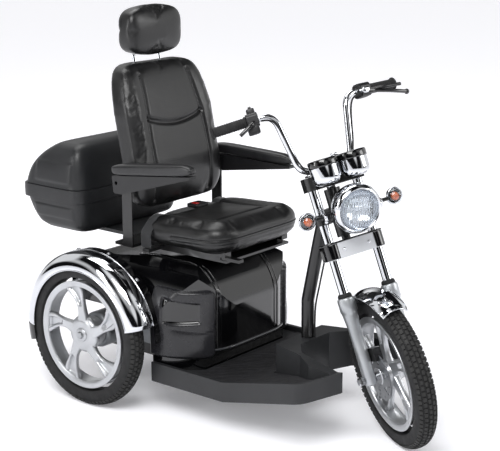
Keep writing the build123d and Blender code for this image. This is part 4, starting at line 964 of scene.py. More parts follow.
def rounded_block(name, centre, axes, half, power, finish, body):
    """Moulded block with rounded edges, set along three given directions; half sizes in millimetres."""
    points, faces = pillow(half[0] * MM, half[1] * MM, half[2] * MM, power, power, 20, 40)
    placed = np.asarray(centre) + points @ np.array([unit(np.array(axis, float)) for axis in axes])
    piece = new_piece(name, placed, faces, finish, body)
    weld(piece)
    return outward(piece)


def fork_block(name, centre_mm, half, power, finish):
    """Rounded block in line with the fork."""
    axes = [fork_way(v) for v in ((1, 0, 0), (0, 1, 0), (0, 0, 1))]
    return rounded_block(name, on_fork(centre_mm)[0], axes, half, power, finish, "steering")


# ---------------------------------------------------------------- wheels
def spoke_surface(hub, reach, face, depth, both_faces):
    """One spoke as (r, angle, w): it leaves the hub wide, narrows to a waist and forks round a pocket at the rim.

    Half width = 25 - 11 sin(pi f / 0.9) near the waist and + 17 f^2.5 towards the rim; the pocket is a smooth
    product of steps across and along, 10 mm deep.
    """
    f = np.linspace(0, 1, 44)[:, None]
    s = np.linspace(-1, 1, 25)[None, :]
    r = hub + (reach - hub) * f
    half = 24 - 9.5 * np.sin(np.pi * np.clip(f / 0.84, 0, 1)) + 13 * f ** 2.6
    angle = 0.26 * f ** 1.3 + s * half / r
    pocket = step_up(f, 0.40, 0.56) * (1 - step_up(f, 0.95, 1.0)) * (1 - step_up(np.abs(s), 0.42, 0.62))
    edge = 3.2 * np.abs(s) ** 7
    dish = 3.0 * np.sin(np.pi * f)
    top = face - edge - 12 * pocket - dish
    low = face - depth + edge + (12 * pocket + dish) * float(both_faces)
    r = np.broadcast_to(r, top.shape)
    return np.concatenate([np.stack([r, angle, top], -1), np.stack([r, angle, low], -1)[:, ::-1]], 1)


def build_spokes(name, centre, axis, up, body, hub, reach, face, depth, both_faces):
    """Five spokes cast in one ring, the first one pointing along up."""
    one = spoke_surface(hub, reach, face, depth, both_faces)
    rows, columns = one.shape[:2]
    along, side, third = basis(axis, up)
    turns = np.pi / 2 + np.arange(5) * 2 * np.pi / 5
    r, w = one[..., 0][None] * MM, one[..., 2][None] * MM
    t = one[..., 1][None] + turns[:, None, None]
    points = np.array(centre) + w[..., None] * along \
        + r[..., None] * (np.cos(t)[..., None] * side + np.sin(t)[..., None] * third)
    faces = grid_faces(rows, columns, wrap_columns=True)
    every = (faces[None] + (np.arange(5) * rows * columns)[:, None, None]).reshape(-1, 4)
    return outward(new_piece(name, points, every, "alloy", body))


def rim_barrel(name, centre, axis, body):
    """Rolled barrel with two lips and a drop centre."""
    half = [(184.5, 26.0), (186.2, 27.5), (185.5, 29.6), (182, 30), (176, 28.5), (170, 28), (166, 26),
            (164.5, 22),
            (167, 15), (168, 10)]
    inner = half + [(r, -w) for r, w in half[::-1]]
    outer = [(184.5, -24.5), (178, -24), (176, -18), (176, 18), (178, 24), (184.5, 24.5)]
    return turned_piece(name, np.array(inner + outer) * MM, centre, axis, "alloy", body, 128,
                        closed=True)


def sharpen(piece, angle=38):
    """Keeps edges steeper than an angle crisp."""
    piece.data.set_sharp_from_angle(angle=math.radians(angle))
    return piece


class SCOOTER_OT_wheels(bpy.types.Operator):
    """Cast the three rims with forked spokes, hubs and nuts"""
    bl_idname = "scooter.wheels"
    bl_label = "Rims"

    def execute(self, context):
        for side, name in ((1, "left"), (-1, "right")):
            centre = np.array(JOINTS[f"rear_wheel_{name}_spin"]["pos_m"])
            axis = (side, 0, 0)
            body = f"rear_wheel_{name}"
            barrel = sharpen(rim_barrel(f"rear_rim_{name}_barrel", centre, axis, body))
            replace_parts(barrel, f"rear_rim_{name}")
            build_spokes(f"rear_rim_{name}_spokes", centre, axis, (0, 0, 1), body, 48, 169, 25, 21, False)
            hub = np.array([
                (0, 31), (20, 31), (23, 29), (24, 26), (40, 26.5), (54, 24), (61, 18), (64, 9), (62, 2),
                (56, -4),
                (50, -10), (50, -36), (48, -38), (14, -38), (14, -82), (12, -83), (0, -83)]) * MM
            sharpen(turned_piece(f"rear_rim_{name}_hub", hub, centre, axis, "alloy", body, 96))
            nut(f"rear_axle_nut_{name}", centre + np.array(axis) * 0.031, axis, 0.0125, 0.010, "steel", body)
        centre = np.array(JOINTS["front_wheel_spin"]["pos_m"])
        _, side_way, _, up = fork_axes()
        barrel = sharpen(rim_barrel("front_rim_barrel", centre, side_way, "front_wheel"))
        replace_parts(barrel, "front_rim")
        build_spokes("front_rim_spokes", centre, side_way, up, "front_wheel", 28, 169, 13, 26, True)
        half = [(8.4, 46), (27, 46), (30, 43), (31, 24), (36, 17), (38, 8), (38, 0)]
        hub = half + [(r, -w) for r, w in half[::-1]]
        sharpen(turned_piece("front_rim_hub", np.array(hub) * MM, centre, side_way, "alloy", "front_wheel",
                             72, closed=True))
        for side in (1, -1):
            nut(f"front_axle_nut_{side}", centre + side * 0.1045 * side_way, side * side_way, 0.014, 0.010,
                "chrome",
                "steering")
        return {"FINISHED"}


# ---------------------------------------------------------------- fork, lamps and dials
LEG_X, LEG_Y = 75.7, -39.8
LEAN_BACK = math.radians(21.6)


class SCOOTER_OT_fork(bpy.types.Operator):
    """Turn the fork sliders, their seals and the yoke's trim"""
    bl_idname = "scooter.fork"
    bl_label = "Fork"

    def execute(self, context):
        _, _, back, up = fork_axes()
        slider = np.array([
            (0, -21), (12, -21), (18, -17), (20.3, -8), (20.3, 150), (20.8, 168), (24, 206), (25.5, 216),
            (27.5, 219),
            (27.5, 256), (26, 261), (23, 263), (0, 263)]) * MM
        seal = np.array([(15.6, 262), (22, 262), (22.5, 268), (20, 274), (16.5, 276), (15.6, 276)]) * MM
        for side, name in ((1, "left"), (-1, "right")):
            base = on_fork((side * LEG_X, LEG_Y, 0))[0]
            leg = turned_piece(f"slider_{name}_casting", slider, base, up, "slider alloy", "steering",
                               48)
            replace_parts(sharpen(leg), f"fork_slider_{name}")
            turned_piece(f"fork_seal_{name}", seal, base, up, "rubber", "steering", 48, closed=True)
            fork_block(f"fender_tab_{name}", (side * 58, LEG_Y, 240), (14, 11, 9), 8, "black enamel")
            fork_block(f"slider_lug_{name}", (side * LEG_X, LEG_Y + 22, 40), (8, 8, 26), 5, "slider alloy")
        corner = 27.0
        x, y = 97 + 3.4, -66 - 3.4
        t = np.linspace(0, np.pi / 2, 14)
        for side in (1, -1):
            bend = np.stack([side * (x - corner + corner * np.cos(t)), y + corner - corner * np.sin(t)], 1)
            path = np.concatenate([[(side * x, -10)], [(side * x, y + corner + 8)], bend, [(side * 62, y)]])
            rows = on_fork(np.column_stack([path, np.full(len(path), 408.0)]))
            ups = np.tile(up, (len(rows), 1))
            swept_piece(f"yoke_corner_{side}", rows, 0.0008, 0.0235, ups, "gloss black", "steering",
                        "gloss_black",
                        round_power=8.0, steps=16)
            round_head(f"yoke_bolt_{side}", on_fork((side * 42, y + 0.3, 408))[0], -back, 0.0055, "chrome",
                       "steering")
        bend = np.stack([x - corner + corner * np.cos(t), y + corner - corner * np.sin(t)], 1)
        path = np.concatenate([[(x, -9)], bend, (bend * [-1, 1])[::-1], [(-x, -9)]])
        rows = on_fork(np.column_stack([path, np.full(len(path), 435.0)]))
        swept_piece("yoke_top_edge", rows, 0.0022, 0.0028, np.tile(up, (len(rows), 1)), "gloss black",
                    "steering",
                    "gloss_black", round_power=3.0, steps=12)
        for name, height in (("lower", 431.0), ("upper", 651.0)):
            for side in (1, -1):
                place = on_fork((side * LEG_X, LEG_Y, height))[0]
                nut(f"leg_cap_{name}_{side}", place, up, 0.0125 if name == "upper" else 0.0185, 0.006,
                    "chrome",
                    "steering")
        nut("stem_nut", on_fork((0, 0, 650))[0], up, 0.016, 0.011, "chrome", "steering")
        for side in (1, -1):
            fork_block(f"bar_clamp_{side}", (side * 34, -12, 676), (14, 19, 12), 6, "black enamel")
            for step in (-11, 11):
                round_head(f"clamp_bolt_{side}_{step}", on_fork((side * 34, -12 + step, 687))[0], up, 0.0045,
                           "chrome", "steering")
        return {"FINISHED"}


class SCOOTER_OT_front_fender(bpy.types.Operator):
    """Press the short domed front fender with rolled edges"""
    bl_idname = "scooter.front_fender"
    bl_label = "Front fender"

    def execute(self, context):
        centre = np.array(JOINTS["front_wheel_spin"]["pos_m"])
        along, side, third = basis(fork_way((1, 0, 0)), fork_way((0, 0, 1)))
        u = np.linspace(-1, 1, 72)[:, None]
        s = np.linspace(-1, 1, 33)[None, :]
        t = np.radians(94.5 - 38.5 * u)
        blunt = np.sqrt(np.clip(1 - 0.30 * np.abs(u) ** 6, 0, 1))
        x = 48 * s * blunt
        r = 272 - 21 * np.abs(s) ** 2.3 - 3.5 * step_up(np.abs(u), 0.9, 1.0)
        shell = []
        for inset in (0.0, 2.4):
            rr = r - inset * (1 - 0.7 * np.abs(s) ** 8)
            xx = x * (1 - inset / 60)
            shell.append(
                centre + (xx * MM)[..., None] * along
                + (rr * MM)[..., None] * (np.cos(t)[..., None] * side + np.sin(t)[..., None] * third))
        rows = np.concatenate([shell[0], shell[1][:, ::-1]], 1)
        piece = new_piece("front_fender_pressing", rows, grid_faces(72, 66, wrap_columns=True), "chrome",
                          "steering")
        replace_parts(sharpen(outward(piece), 60), "front_fender")
        edge = np.concatenate([shell[0][:, 0], shell[0][-1, 1:], shell[0][::-1, -1][1:],
                               shell[0][0, ::-1][1:-1]])
        swept_piece("front_fender_bead", edge, 0.0020, 0.0020,
                    np.tile(np.array([0.03, 0.05, 1.0]), (len(edge), 1)),
                    "chrome", "steering", "chrome", round_power=2.0, steps=10, closed=True)
        return {"FINISHED"}


def lamp_axes():
    """Centre of the headlamp rim and the level direction from it to the back of the bowl."""
    return on_fork((0, -168, 514))[0], fork_way((0, math.cos(LEAN_BACK), math.sin(LEAN_BACK)))


class SCOOTER_OT_headlamp(bpy.types.Operator):
    """Spin the headlamp bowl, its fluted glass and its side nuts"""
    bl_idname = "scooter.headlamp"
    bl_label = "Headlamp"

    def execute(self, context):
        centre, back = lamp_axes()
        t = np.linspace(0, np.pi / 2, 22)
        dome = np.stack([75.6 * np.cos(t), 16 + 76 * np.sin(t)], 1)
        shell = np.concatenate([
            [(0, 40), (14, 39.5), (30, 34), (44, 25), (56, 12), (62.5, 0), (64, -7), (65.5, -10.4),
             (68, -11.4),
             (71, -9.6), (75.5, -2.5), (78, 4.5), (77.6, 8.5), (75.2, 11)], dome])
        bowl = turned_piece("headlamp_bowl", shell * MM, centre, back, "chrome", "steering", 128)
        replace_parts(sharpen(bowl, 50), "headlamp_shell")
        rings = np.linspace(0, 63.8, 30)
        front = -15.5 + 12.5 * (rings / 63.8) ** 2
        profile = np.concatenate([np.stack([rings, front], 1), [(63.8, 0.5)],
                                  np.stack([rings, front + 3.4], 1)[::-1]])
        points, faces = turned(profile * MM, centre, back, 160)
        along, side, third = basis(back)
        rel = points - centre
        across = rel @ side
        inside = np.concatenate([np.zeros(31), np.ones(30)])[None, :]
        level = rel @ third
        pattern = 1.1 * np.cos(2 * np.pi * across / 0.0085) * step_up(0.060 - np.hypot(across, level), 0,
                                                                      0.006)
        points = points - (inside * pattern * MM)[..., None] * along
        glass = new_piece("headlamp_glass", points, faces, "clear", "steering")
        weld(glass)
        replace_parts(outward(glass), "headlamp_lens")
        turned_piece("headlamp_bulb", np.array([(0, 12), (6, 14), (8, 20), (8, 30), (5, 36), (0, 38)]) * MM,
                     centre,
                     back, "bulb glass", "steering", 32)
        turned_piece("headlamp_bulb_cap", np.array([(0, 8), (9, 9), (11, 13), (9.5, 14), (0, 11)]) * MM,
                     centre,
                     back, "chrome", "steering", 32)
        for side_sign in (1, -1):
            side_way = fork_way((side_sign, 0, 0))
            place = on_fork((side_sign * 88.5, -118, 514))[0]
            knob = turned_piece(
                f"headlamp_knob_{side_sign}",
                np.array([(0, 0), (13, 0), (15.5, 2), (15.5, 8), (13, 10.5), (7, 11), (0, 11)]) * MM,
                place, side_way, "chrome", "steering", 72)
            points = star_profile(read_points(knob.data), place, side_way, 8, 0.07)
            knob.data.vertices.foreach_set("co", points.astype(np.float32).ravel())
        return {"FINISHED"}


class SCOOTER_OT_signals(bpy.types.Operator):
    """Make the two front turn signals: clear dome, chrome ring, black back and bulb"""
    bl_idname = "scooter.signals"
    bl_label = "Turn signals"

    def execute(self, context):
        back = fork_way((0, math.cos(LEAN_BACK), math.sin(LEAN_BACK)))
        t = np.linspace(np.pi / 2, 0, 14)
        for side, name in ((1, "left"), (-1, "right")):
            centre = on_fork((side * 148.7, -120, 519))[0]
            outer = np.stack([25.5 * np.cos(t), 5 - 24 * np.sin(t)], 1)
            inner = np.stack([23.5 * np.cos(t), 5 - 22 * np.sin(t)], 1)[::-1]
            lens = turned_piece(f"signal_lens_{name}",
                                np.concatenate([outer, [(25.5, 8), (23.5, 8)], inner]) * MM,
                                centre, back, "clear", "steering", 48)
            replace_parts(lens, f"turn_signal_{name}")
            ring = np.array([(24, 5), (26, 3.6), (27.8, 5), (28, 10), (26, 13), (24, 13)]) * MM
            turned_piece(f"signal_ring_{name}", ring, centre, back, "chrome", "steering", 48,
                         closed=True)
            bowl = np.stack([25.6 * np.cos(t), 12 + 22 * np.sin(t)], 1)[::-1]
            bowl = np.concatenate([[(0, 9), (23.4, 9), (25.6, 11)], bowl])
            turned_piece(f"signal_bowl_{name}", bowl * MM, centre, back, "gloss black", "steering",
                         48)
            bulb = np.stack([13 * np.cos(t), 3 - 14 * np.sin(t)], 1)
            bulb = np.concatenate([bulb, [(13, 9), (0, 9)]])
            turned_piece(f"signal_bulb_{name}", bulb * MM, centre, back, "amber bulb", "steering",
                         32)
        return {"FINISHED"}


class SCOOTER_OT_dials(bpy.types.Operator):
    """Build the two dials, their cards and needles, and the key switch between them"""
    bl_idname = "scooter.dials"
    bl_label = "Dials"

    def execute(self, context):
        up = fork_way((0, 0, 1))
        can = np.array([(0, 612), (26, 612), (38, 616), (44, 624), (46, 636), (46.2, 668), (44, 669),
                        (44, 683),
                        (0, 683)]) * MM
        band = np.array([(44, 668), (47.6, 668.5), (48, 672), (48, 687), (46, 691), (42.5, 692), (41, 690),
                         (41, 684),
                         (44, 683)]) * MM
        for side, name in ((1, "left"), (-1, "right")):
            base = on_fork((side * 48, -118, 0))[0]
            tin = turned_piece(f"dial_can_{name}", can, base, up, "chrome", "steering", 72)
            if side > 0:
                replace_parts(tin, "dial_housing")
            sharpen(tin, 50)
            turned_piece(f"dial_band_{name}", band, base, up, "gloss black", "steering", 72,
                         closed=True)
            card = np.array([(0, 684), (41.5, 684), (41.5, 685), (0, 685)]) * MM
            turned_piece(f"dial_card_{name}", card, base, up, "dial black", "steering", 64)
            glass = np.array([(0, 688.4), (41.3, 688.0), (41.3, 689.4), (0, 690)]) * MM
            turned_piece(f"dial_glass_{name}", glass, base, up, "clear", "steering", 64)
            turn = np.radians(np.linspace(-130, 130, 27))
            small = np.array([[-.5, -1, 0], [.5, -1, 0], [.5, 1, 0], [-.5, 1, 0], [-.5, -1, 1], [.5, -1, 1],
                              [.5, 1, 1], [-.5, 1, 1]]) * [1.0, 2.4, 0.4] * MM
            box = np.array([[0, 3, 2, 1], [4, 5, 6, 7], [0, 1, 5, 4], [1, 2, 6, 5], [2, 3, 7, 6],
                            [3, 0, 4, 7]])
            side_way, back = fork_way((1, 0, 0)), fork_way((0, 1, 0))
            out = np.sin(turn)[:, None] * side_way - np.cos(turn)[:, None] * back
            length = np.where(np.arange(27) % 2 == 0, 1.5, 0.8)[:, None]
            marks, faces = repeated(
                small, box, base + 0.685 * up + out * 0.0345, np.cross(out, up), out * length,
                np.tile(up, (27, 1)))
            new_piece(f"dial_marks_{name}", marks, faces, "dial white", "steering", smooth=False)
            needle = base + 0.6862 * up
            way = unit(-0.8 * side_way + 0.9 * back)
            swept_piece(f"dial_needle_{name}", np.array([needle - 0.006 * way, needle, needle + 0.028 * way]),
                        np.array([0.0012, 0.0016, 0.0005]), 0.0005, np.tile(up, (3, 1)), "red button",
                        "steering",
                        "red_lens", round_power=3.0, steps=8)
            nut(f"dial_nut_{name}", on_fork((side * 48, -118, 612))[0], -up, 0.0085, 0.008, "chrome",
                "steering")
        fork_block("dial_bracket", (0, -112, 622), (44, 12, 14), 7, "black enamel")
        fork_block("key_switch", (0, -104, 668), (15, 17, 26), 6, "satin plastic")
        stub = np.array([(0, 692), (9.5, 692), (10.5, 694), (10.5, 700), (9, 702), (0, 702)]) * MM
        turned_piece("key_barrel", stub, on_fork((0, -104, 0))[0], up, "chrome", "steering", 32)
        return {"FINISHED"}


def bar_ends(side):
    """Tip and bend of one end of the bars in the fork's frame, and the direction inwards, in millimetres."""
    tip = np.array([side * 314.0, 27.0, 867.0])
    bend = np.array([side * 125.0, -24.5, 871.5])
    return tip, unit(bend - tip)


class SCOOTER_OT_controls(bpy.types.Operator):
    """Shape the grips, the switch blocks, the brake lever and the throttle paddle"""
    bl_idname = "scooter.controls"
    bl_label = "Grips and controls"

    def execute(self, context):
        up = fork_way((0, 0, 1))
        for side, name in ((1, "left"), (-1, "right")):
            tip, inward = bar_ends(side)
            way = fork_way(inward)
            start = on_fork(tip - 3 * inward)[0]
            w = np.linspace(0, 115, 116)
            ribs = 15.4 + 0.9 * (np.sin(2 * np.pi * w / 7.5) > 0) * (w > 12) * (w < 104)
            ribs = ribs + 5.5 * np.exp(-((w - 3) / 3.2) ** 4) + 3.5 * np.exp(-((w - 111) / 3.5) ** 4)
            profile = np.concatenate([[(0, -2.5), (12, -2.5)], np.stack([ribs, w], 1), [(0, 115)]]) * MM
            grip = turned_piece(f"grip_{name}_sleeve", profile, start, way, "rubber", "steering",
                                40)
            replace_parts(grip, f"grip_{name}")
            root = on_fork(tip + (115 + 15) * inward)[0]
            axes = [way, unit(np.cross(up, way)), up]
            rounded_block(f"control_{name}_clamp", root - 0.001 * up, axes, (20, 24, 23), 5, "satin plastic",
                          "steering")
            for step in (-10, 10):
                round_head(f"control_{name}_screw_{step}", root + way * step * MM + up * 0.0215, up, 0.0035,
                           "steel",
                           "steering")
            lever_root = tip + (112 + 14) * inward + np.array([0, -32, -6])
            if side > 0:
                end = lever_root - inward * 138 + np.array([0, -34, -34])
                knee = lever_root - inward * 62 + np.array([0, -30, -16])
            else:
                end = lever_root - inward * 58 + np.array([0, -10, -30])
                knee = lever_root - inward * 30 + np.array([0, -10, -16])
            route = np.array([lever_root + [0, 14, 2], lever_root * 0.55 + knee * 0.45,
                              knee * 0.8 + end * 0.2, end])
            path = on_fork(smooth_line(route, 48))
            wide = np.interp(np.linspace(0, 1, 48), [0, 0.15, 0.8, 1], [0.011, 0.0085, 0.0075, 0.0065])
            swept_piece(f"lever_{name}", path, wide, 0.0060, np.tile(up, (48, 1)), "gloss black", "steering",
                        "black_plastic", round_power=2.6, steps=16)
            if side > 0:
                ball = np.stack([9 * np.sin(np.linspace(0, np.pi, 15)),
                                 -9 * np.cos(np.linspace(0, np.pi, 15))], 1)
                turned_piece("lever_ball", ball * MM, path[-1], up, "gloss black", "steering",
                             24)
                perch = on_fork(tip + (112 + 16) * inward + np.array([0, -24, -3]))[0]
                rounded_block("brake_perch", perch, axes, (15, 15, 10), 4, "chrome", "steering")
                nut("brake_pivot", perch + 0.0095 * up + way * -0.004, up, 0.006, 0.005, "chrome", "steering")
            else:
                box = on_fork(tip + 124 * inward + np.array([0, -8, -30]))[0]
                rounded_block("throttle_box", box, axes, (19, 17, 15), 6, "satin plastic", "steering")
                top = on_fork(tip + 132 * inward + np.array([0, 2, 27]))[0]
                rounded_block("switch_tower", top, axes, (13, 15, 11), 5, "satin plastic", "steering")
                rounded_block("switch_rocker", top + 0.012 * up, axes, (5, 8, 5), 4, "gloss black",
                              "steering")
        return {"FINISHED"}


# ---------------------------------------------------------------- bodywork
def node_cast(node, starts, ways):
    """Places and normals where rays meet a frame node; a miss gives no place."""
    piece = frame["nodes"][node]
    inverse = piece.matrix_world.inverted()
    places, normals = [], []
    for start, way in zip(starts, ways):
        hit, place, normal, _ = piece.ray_cast(inverse @ Vector(start), inverse.to_3x3() @ Vector(way))
        places.append((piece.matrix_world @ place)[:] if hit else (np.nan,) * 3)
        normals.append((piece.matrix_world.to_3x3() @ normal)[:] if hit else (np.nan,) * 3)
    return np.array(places), np.array(normals)


class SCOOTER_OT_shroud_trim(bpy.types.Operator):
    """Lay the two moulded bands over the shroud and the lip along its foot"""
    bl_idname = "scooter.shroud_trim"
    bl_label = "Shroud bands"

    def execute(self, context):
        for name, x in (("right", -0.166), ("left", 0.118)):
            z = np.linspace(0.236, 0.500, 44)
            y = np.linspace(0.075, 0.330, 30)
            low = np.stack([np.full(44, x), np.full(44, -0.4), z], 1)
            high = np.stack([np.full(30, x), y, np.full(30, 0.8)], 1)
            front, front_out = node_cast("body_shroud", low, [(0, 1, 0)] * 44)
            crown, crown_out = node_cast("body_shroud", high, [(0, 0, -1)] * 30)
            places = np.concatenate([front, crown])
            out = np.concatenate([front_out, crown_out])
            keep = ~np.isnan(places[:, 0])
            places, out = places[keep], out[keep]
            order = np.argsort(places[:, 2] + np.where(places[:, 1] > 0.08, places[:, 1], 0) * 2)
            places, out = places[order], out[order]
            path = smooth_line(places[::3], 120)
            ups = smooth_line(out[::3], 120)
            for shift, half, proud in ((0.0, 0.0085, 0.0016), (-0.0085, 0.0016, 0.0030),
                                       (0.0085, 0.0016, 0.0030)):
                line = path + np.array([shift, 0, 0])
                swept_piece(f"shroud_band_{name}_{int(shift * 10000)}", line, half, proud, ups, "gloss black",
                            "chassis", "gloss_black", round_power=4.0, steps=14)
        x = np.linspace(-0.19, 0.19, 60)
        curve = 0.195 - np.sqrt(np.clip(0.195 ** 2 - np.clip(np.abs(x) - 0.090, 0, None) ** 2, 0, None))
        path = np.stack([x, -0.0395 + curve, np.full(60, 0.2305)], 1)
        # the lip takes the lighter grey finish: a painted highlight in place of the reflection on its glossy
        # rounding
        swept_piece("shroud_lip", path, 0.0035, 0.0042, np.tile([0.0, -0.5, 1.0], (60, 1)), "lip painted highlight",
                    "chassis",
                    "gloss_black", round_power=2.2, steps=16)
        return {"FINISHED"}


class SCOOTER_OT_side_covers(bpy.types.Operator):
    """Mould the two side covers with their recessed pocket and lower swelling"""
    bl_idname = "scooter.side_covers"
    bl_label = "Side covers"

    def execute(self, context):
        rows, columns = 72, 84
        z = np.linspace(0.203, 0.441, rows)[:, None]
        turn = np.radians(np.linspace(-4, 64, columns))[None, :]
        for side, name in ((1, "left"), (-1, "right")):
            way = np.stack([side * np.cos(turn) + 0 * z, -np.sin(turn) + 0 * z, 0 * turn + 0 * z], -1)
            middle = np.stack([side * 0.090 + 0 * turn + 0 * z, 0.157 + 0 * turn + 0 * z, z + 0 * turn], -1)
            middle[..., 1] = np.where(turn + 0 * z < 0, 0.157 + 0.195 * np.tan(-turn) + 0 * z, middle[..., 1])
            level = np.where((turn + 0 * z < 0)[..., None], np.array([side * 1.0, 0, 0]), way)
            starts = (middle + 0.4 * level).reshape(-1, 3)
            places, out = node_cast("body_shroud", starts, -level.reshape(-1, 3))
            places, out = places.reshape(rows, columns, 3), out.reshape(rows, columns, 3)
            lost = np.isnan(places[..., :1])
            places = np.where(lost, middle + 0.195 * level, places)
            out = np.where(lost, level, out)
            v = (z - 0.203) / 0.238
            u = (turn + np.radians(4)) / np.radians(68)
            edge_v = step_up(v, 0.0, 0.05) * (1 - step_up(v, 0.95, 1.0))
            edge_u = step_up(u, 0.0, 0.03) * (1 - step_up(u, 0.955, 1.0))
            corner = np.hypot(np.clip(u - 0.82, 0, None) / 0.18,
                              np.clip(np.abs(v - 0.5) - 0.34, 0, None) / 0.16)
            edge = edge_v * edge_u * (1 - step_up(corner, 0.9, 1.08))
            pocket = step_up(u, 0.20, 0.25) * (1 - step_up(u, 0.74, 0.79)) \
                * step_up(v, 0.47 + 0.05 * u,
                          0.52 + 0.05 * u) * (1 - step_up(v, 0.86 - 0.10 * u, 0.90 - 0.10 * u))
            lobe = np.exp(-((u - 0.56) / 0.30) ** 4 - ((v - 0.24) / 0.17) ** 4)
            crease = np.exp(-((v - 0.45 + 0.10 * (u - 0.3)) / 0.012) ** 2) * step_up(u, 0.3, 0.5)
            height = edge * (13.5 + 4.5 * lobe - 9.0 * pocket - 1.5 * crease) - 1.0
            skin = places + out * (height * MM)[..., None]
            inner = places - out * 0.0015
            points = np.concatenate([skin.reshape(-1, 3), inner.reshape(-1, 3)])
            top = grid_faces(rows, columns)
            under = top[:, ::-1] + rows * columns
            i, j = np.arange(rows - 1), np.arange(columns - 1)
            walls = []
            for run in (i * columns, i[::-1] * columns + 2 * columns - 1):
                step = columns if run[0] == 0 else -columns
                walls.append(np.stack([run, run + step, run + step + rows * columns, run + rows * columns],
                                      1))
            for run, step in ((j[::-1] + 1, -1), (j + (rows - 1) * columns, 1)):
                walls.append(np.stack([run, run + step, run + step + rows * columns, run + rows * columns],
                                      1))
            faces = np.concatenate([top, under, *walls])
            cover = new_piece(f"cheek_{name}", points, faces, "cheek plastic", "chassis")
            cover.data.materials.append(material("gloss black"))
            deep = (pocket.ravel() > 0.6)[faces[:len(top)]].all(1)
            index = np.zeros(len(cover.data.polygons), np.int32)
            index[:len(top)] = deep
            cover.data.polygons.foreach_set("material_index", index)
            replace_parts(outward(cover), f"side_cover_{name}")
        return {"FINISHED"}


def fender_arc(centre, x, r, start, end, count):
    """Points of an arc about the rear axle, from the rear over the top, in metres."""
    a = np.radians(np.linspace(start, end, count))
    return centre + np.stack([np.full(count, x * MM), r * MM * np.cos(a), r * MM * np.sin(a)], 1)


class SCOOTER_OT_rear_fenders(bpy.types.Operator):
    """Press the plated rear fenders, their rolled lips and the bolts of the inner guards"""
    bl_idname = "scooter.rear_fenders"
    bl_label = "Rear fenders"

    def execute(self, context):
        t = np.linspace(0, np.pi / 2, 22)
        roll_x = 340 + 57 * np.sin(t) ** (2 / 2.3)
        roll_r = 224 + 56.6 * np.cos(t) ** (2 / 2.3)
        outer = np.stack([np.concatenate([[318, 326, 334], roll_x]),
                          np.concatenate([[279, 280.2, 280.6], roll_r])], 1)
        inner = outer + np.stack([-2.4 * step_up(outer[:, 0], 345, 390),
                                  -2.4 + 2.4 * step_up(outer[:, 0], 345, 396)], 1)
        section = np.concatenate([outer, inner[::-1]])
        a = np.radians(np.linspace(-2, 166, 120))
        for side, name in ((1, "left"), (-1, "right")):
            axle = np.array([0.0, *JOINTS[f"rear_wheel_{name}_spin"]["pos_m"][1:]])
            x, r = section.T * MM
            blunt = 1 - 0.020 * step_up(np.abs(a - np.radians(82)), np.radians(81), np.radians(84.1))[:,
                                                                                                      None] ** 2
            points = axle + np.stack([
                side * x[None] + 0 * a[:, None], r[None] * blunt * np.cos(a)[:, None],
                r[None] * blunt * np.sin(a)[:, None]], -1)
            shell = new_piece(f"fender_{name}_pressing", points,
                              grid_faces(120, len(section), wrap_columns=True),
                              "chrome", "chassis")
            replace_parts(sharpen(outward(shell), 60), f"rear_fender_{name}")
            ups = np.tile([float(side), 0.0, 0.0], (120, 1))
            for label, lip_x, lip_r, size in (("lip", 396.0, 224.5, 0.0024), ("seam", 318.5, 279.5, 0.0020)):
                path = fender_arc(axle, side * lip_x, lip_r, -1.5, 165.5, 120)
                swept_piece(f"fender_{name}_{label}", path, size, size, ups, "chrome", "chassis", "chrome",
                            round_power=2.0, steps=12)
            for number, angle in enumerate(np.radians((12, 42, 72, 102, 132))):
                out = np.array([0, math.cos(angle), math.sin(angle)])
                round_head(f"fender_{name}_bolt_{number}", axle + out * 0.2802 + [side * 0.304, 0, 0], out,
                           0.0075,
                           "steel", "chassis")
        return {"FINISHED"}


def loft_shell(name, levels, power, finish, body, panel=None, rows=None):
    """Closed shell through outlines (z, half x, front y, rear y), joined by smooth curves.

    Each outline is |x/a|^p + |y/b|^p = 1.
    """
    levels = np.asarray(levels, float)
    count = rows or 6 * len(levels)
    z, half, front, rear = smooth_line(levels, count).T
    half = np.maximum(half, 0)
    columns = 144
    u = np.linspace(0, 2 * np.pi, columns, endpoint=False) + np.pi / columns
    cx = np.sign(np.cos(u)) * np.abs(np.cos(u)) ** (2 / power)
    cy = np.sign(np.sin(u)) * np.abs(np.sin(u)) ** (2 / power)
    x = half[:, None] * cx
    y = (front + rear)[:, None] / 2 + (rear - front)[:, None] / 2 * cy
    height = np.repeat(z[:, None], columns, 1)
    if panel is not None:
        push = panel(x, y, height, half[:, None])
        x = x + np.sign(x) * push
    piece = new_piece(name, np.stack([x, y, height], -1) * MM, grid_faces(count, columns, wrap_columns=True),
                      finish,
                      body)
    weld(piece)
    return sharpen(outward(piece), 50)


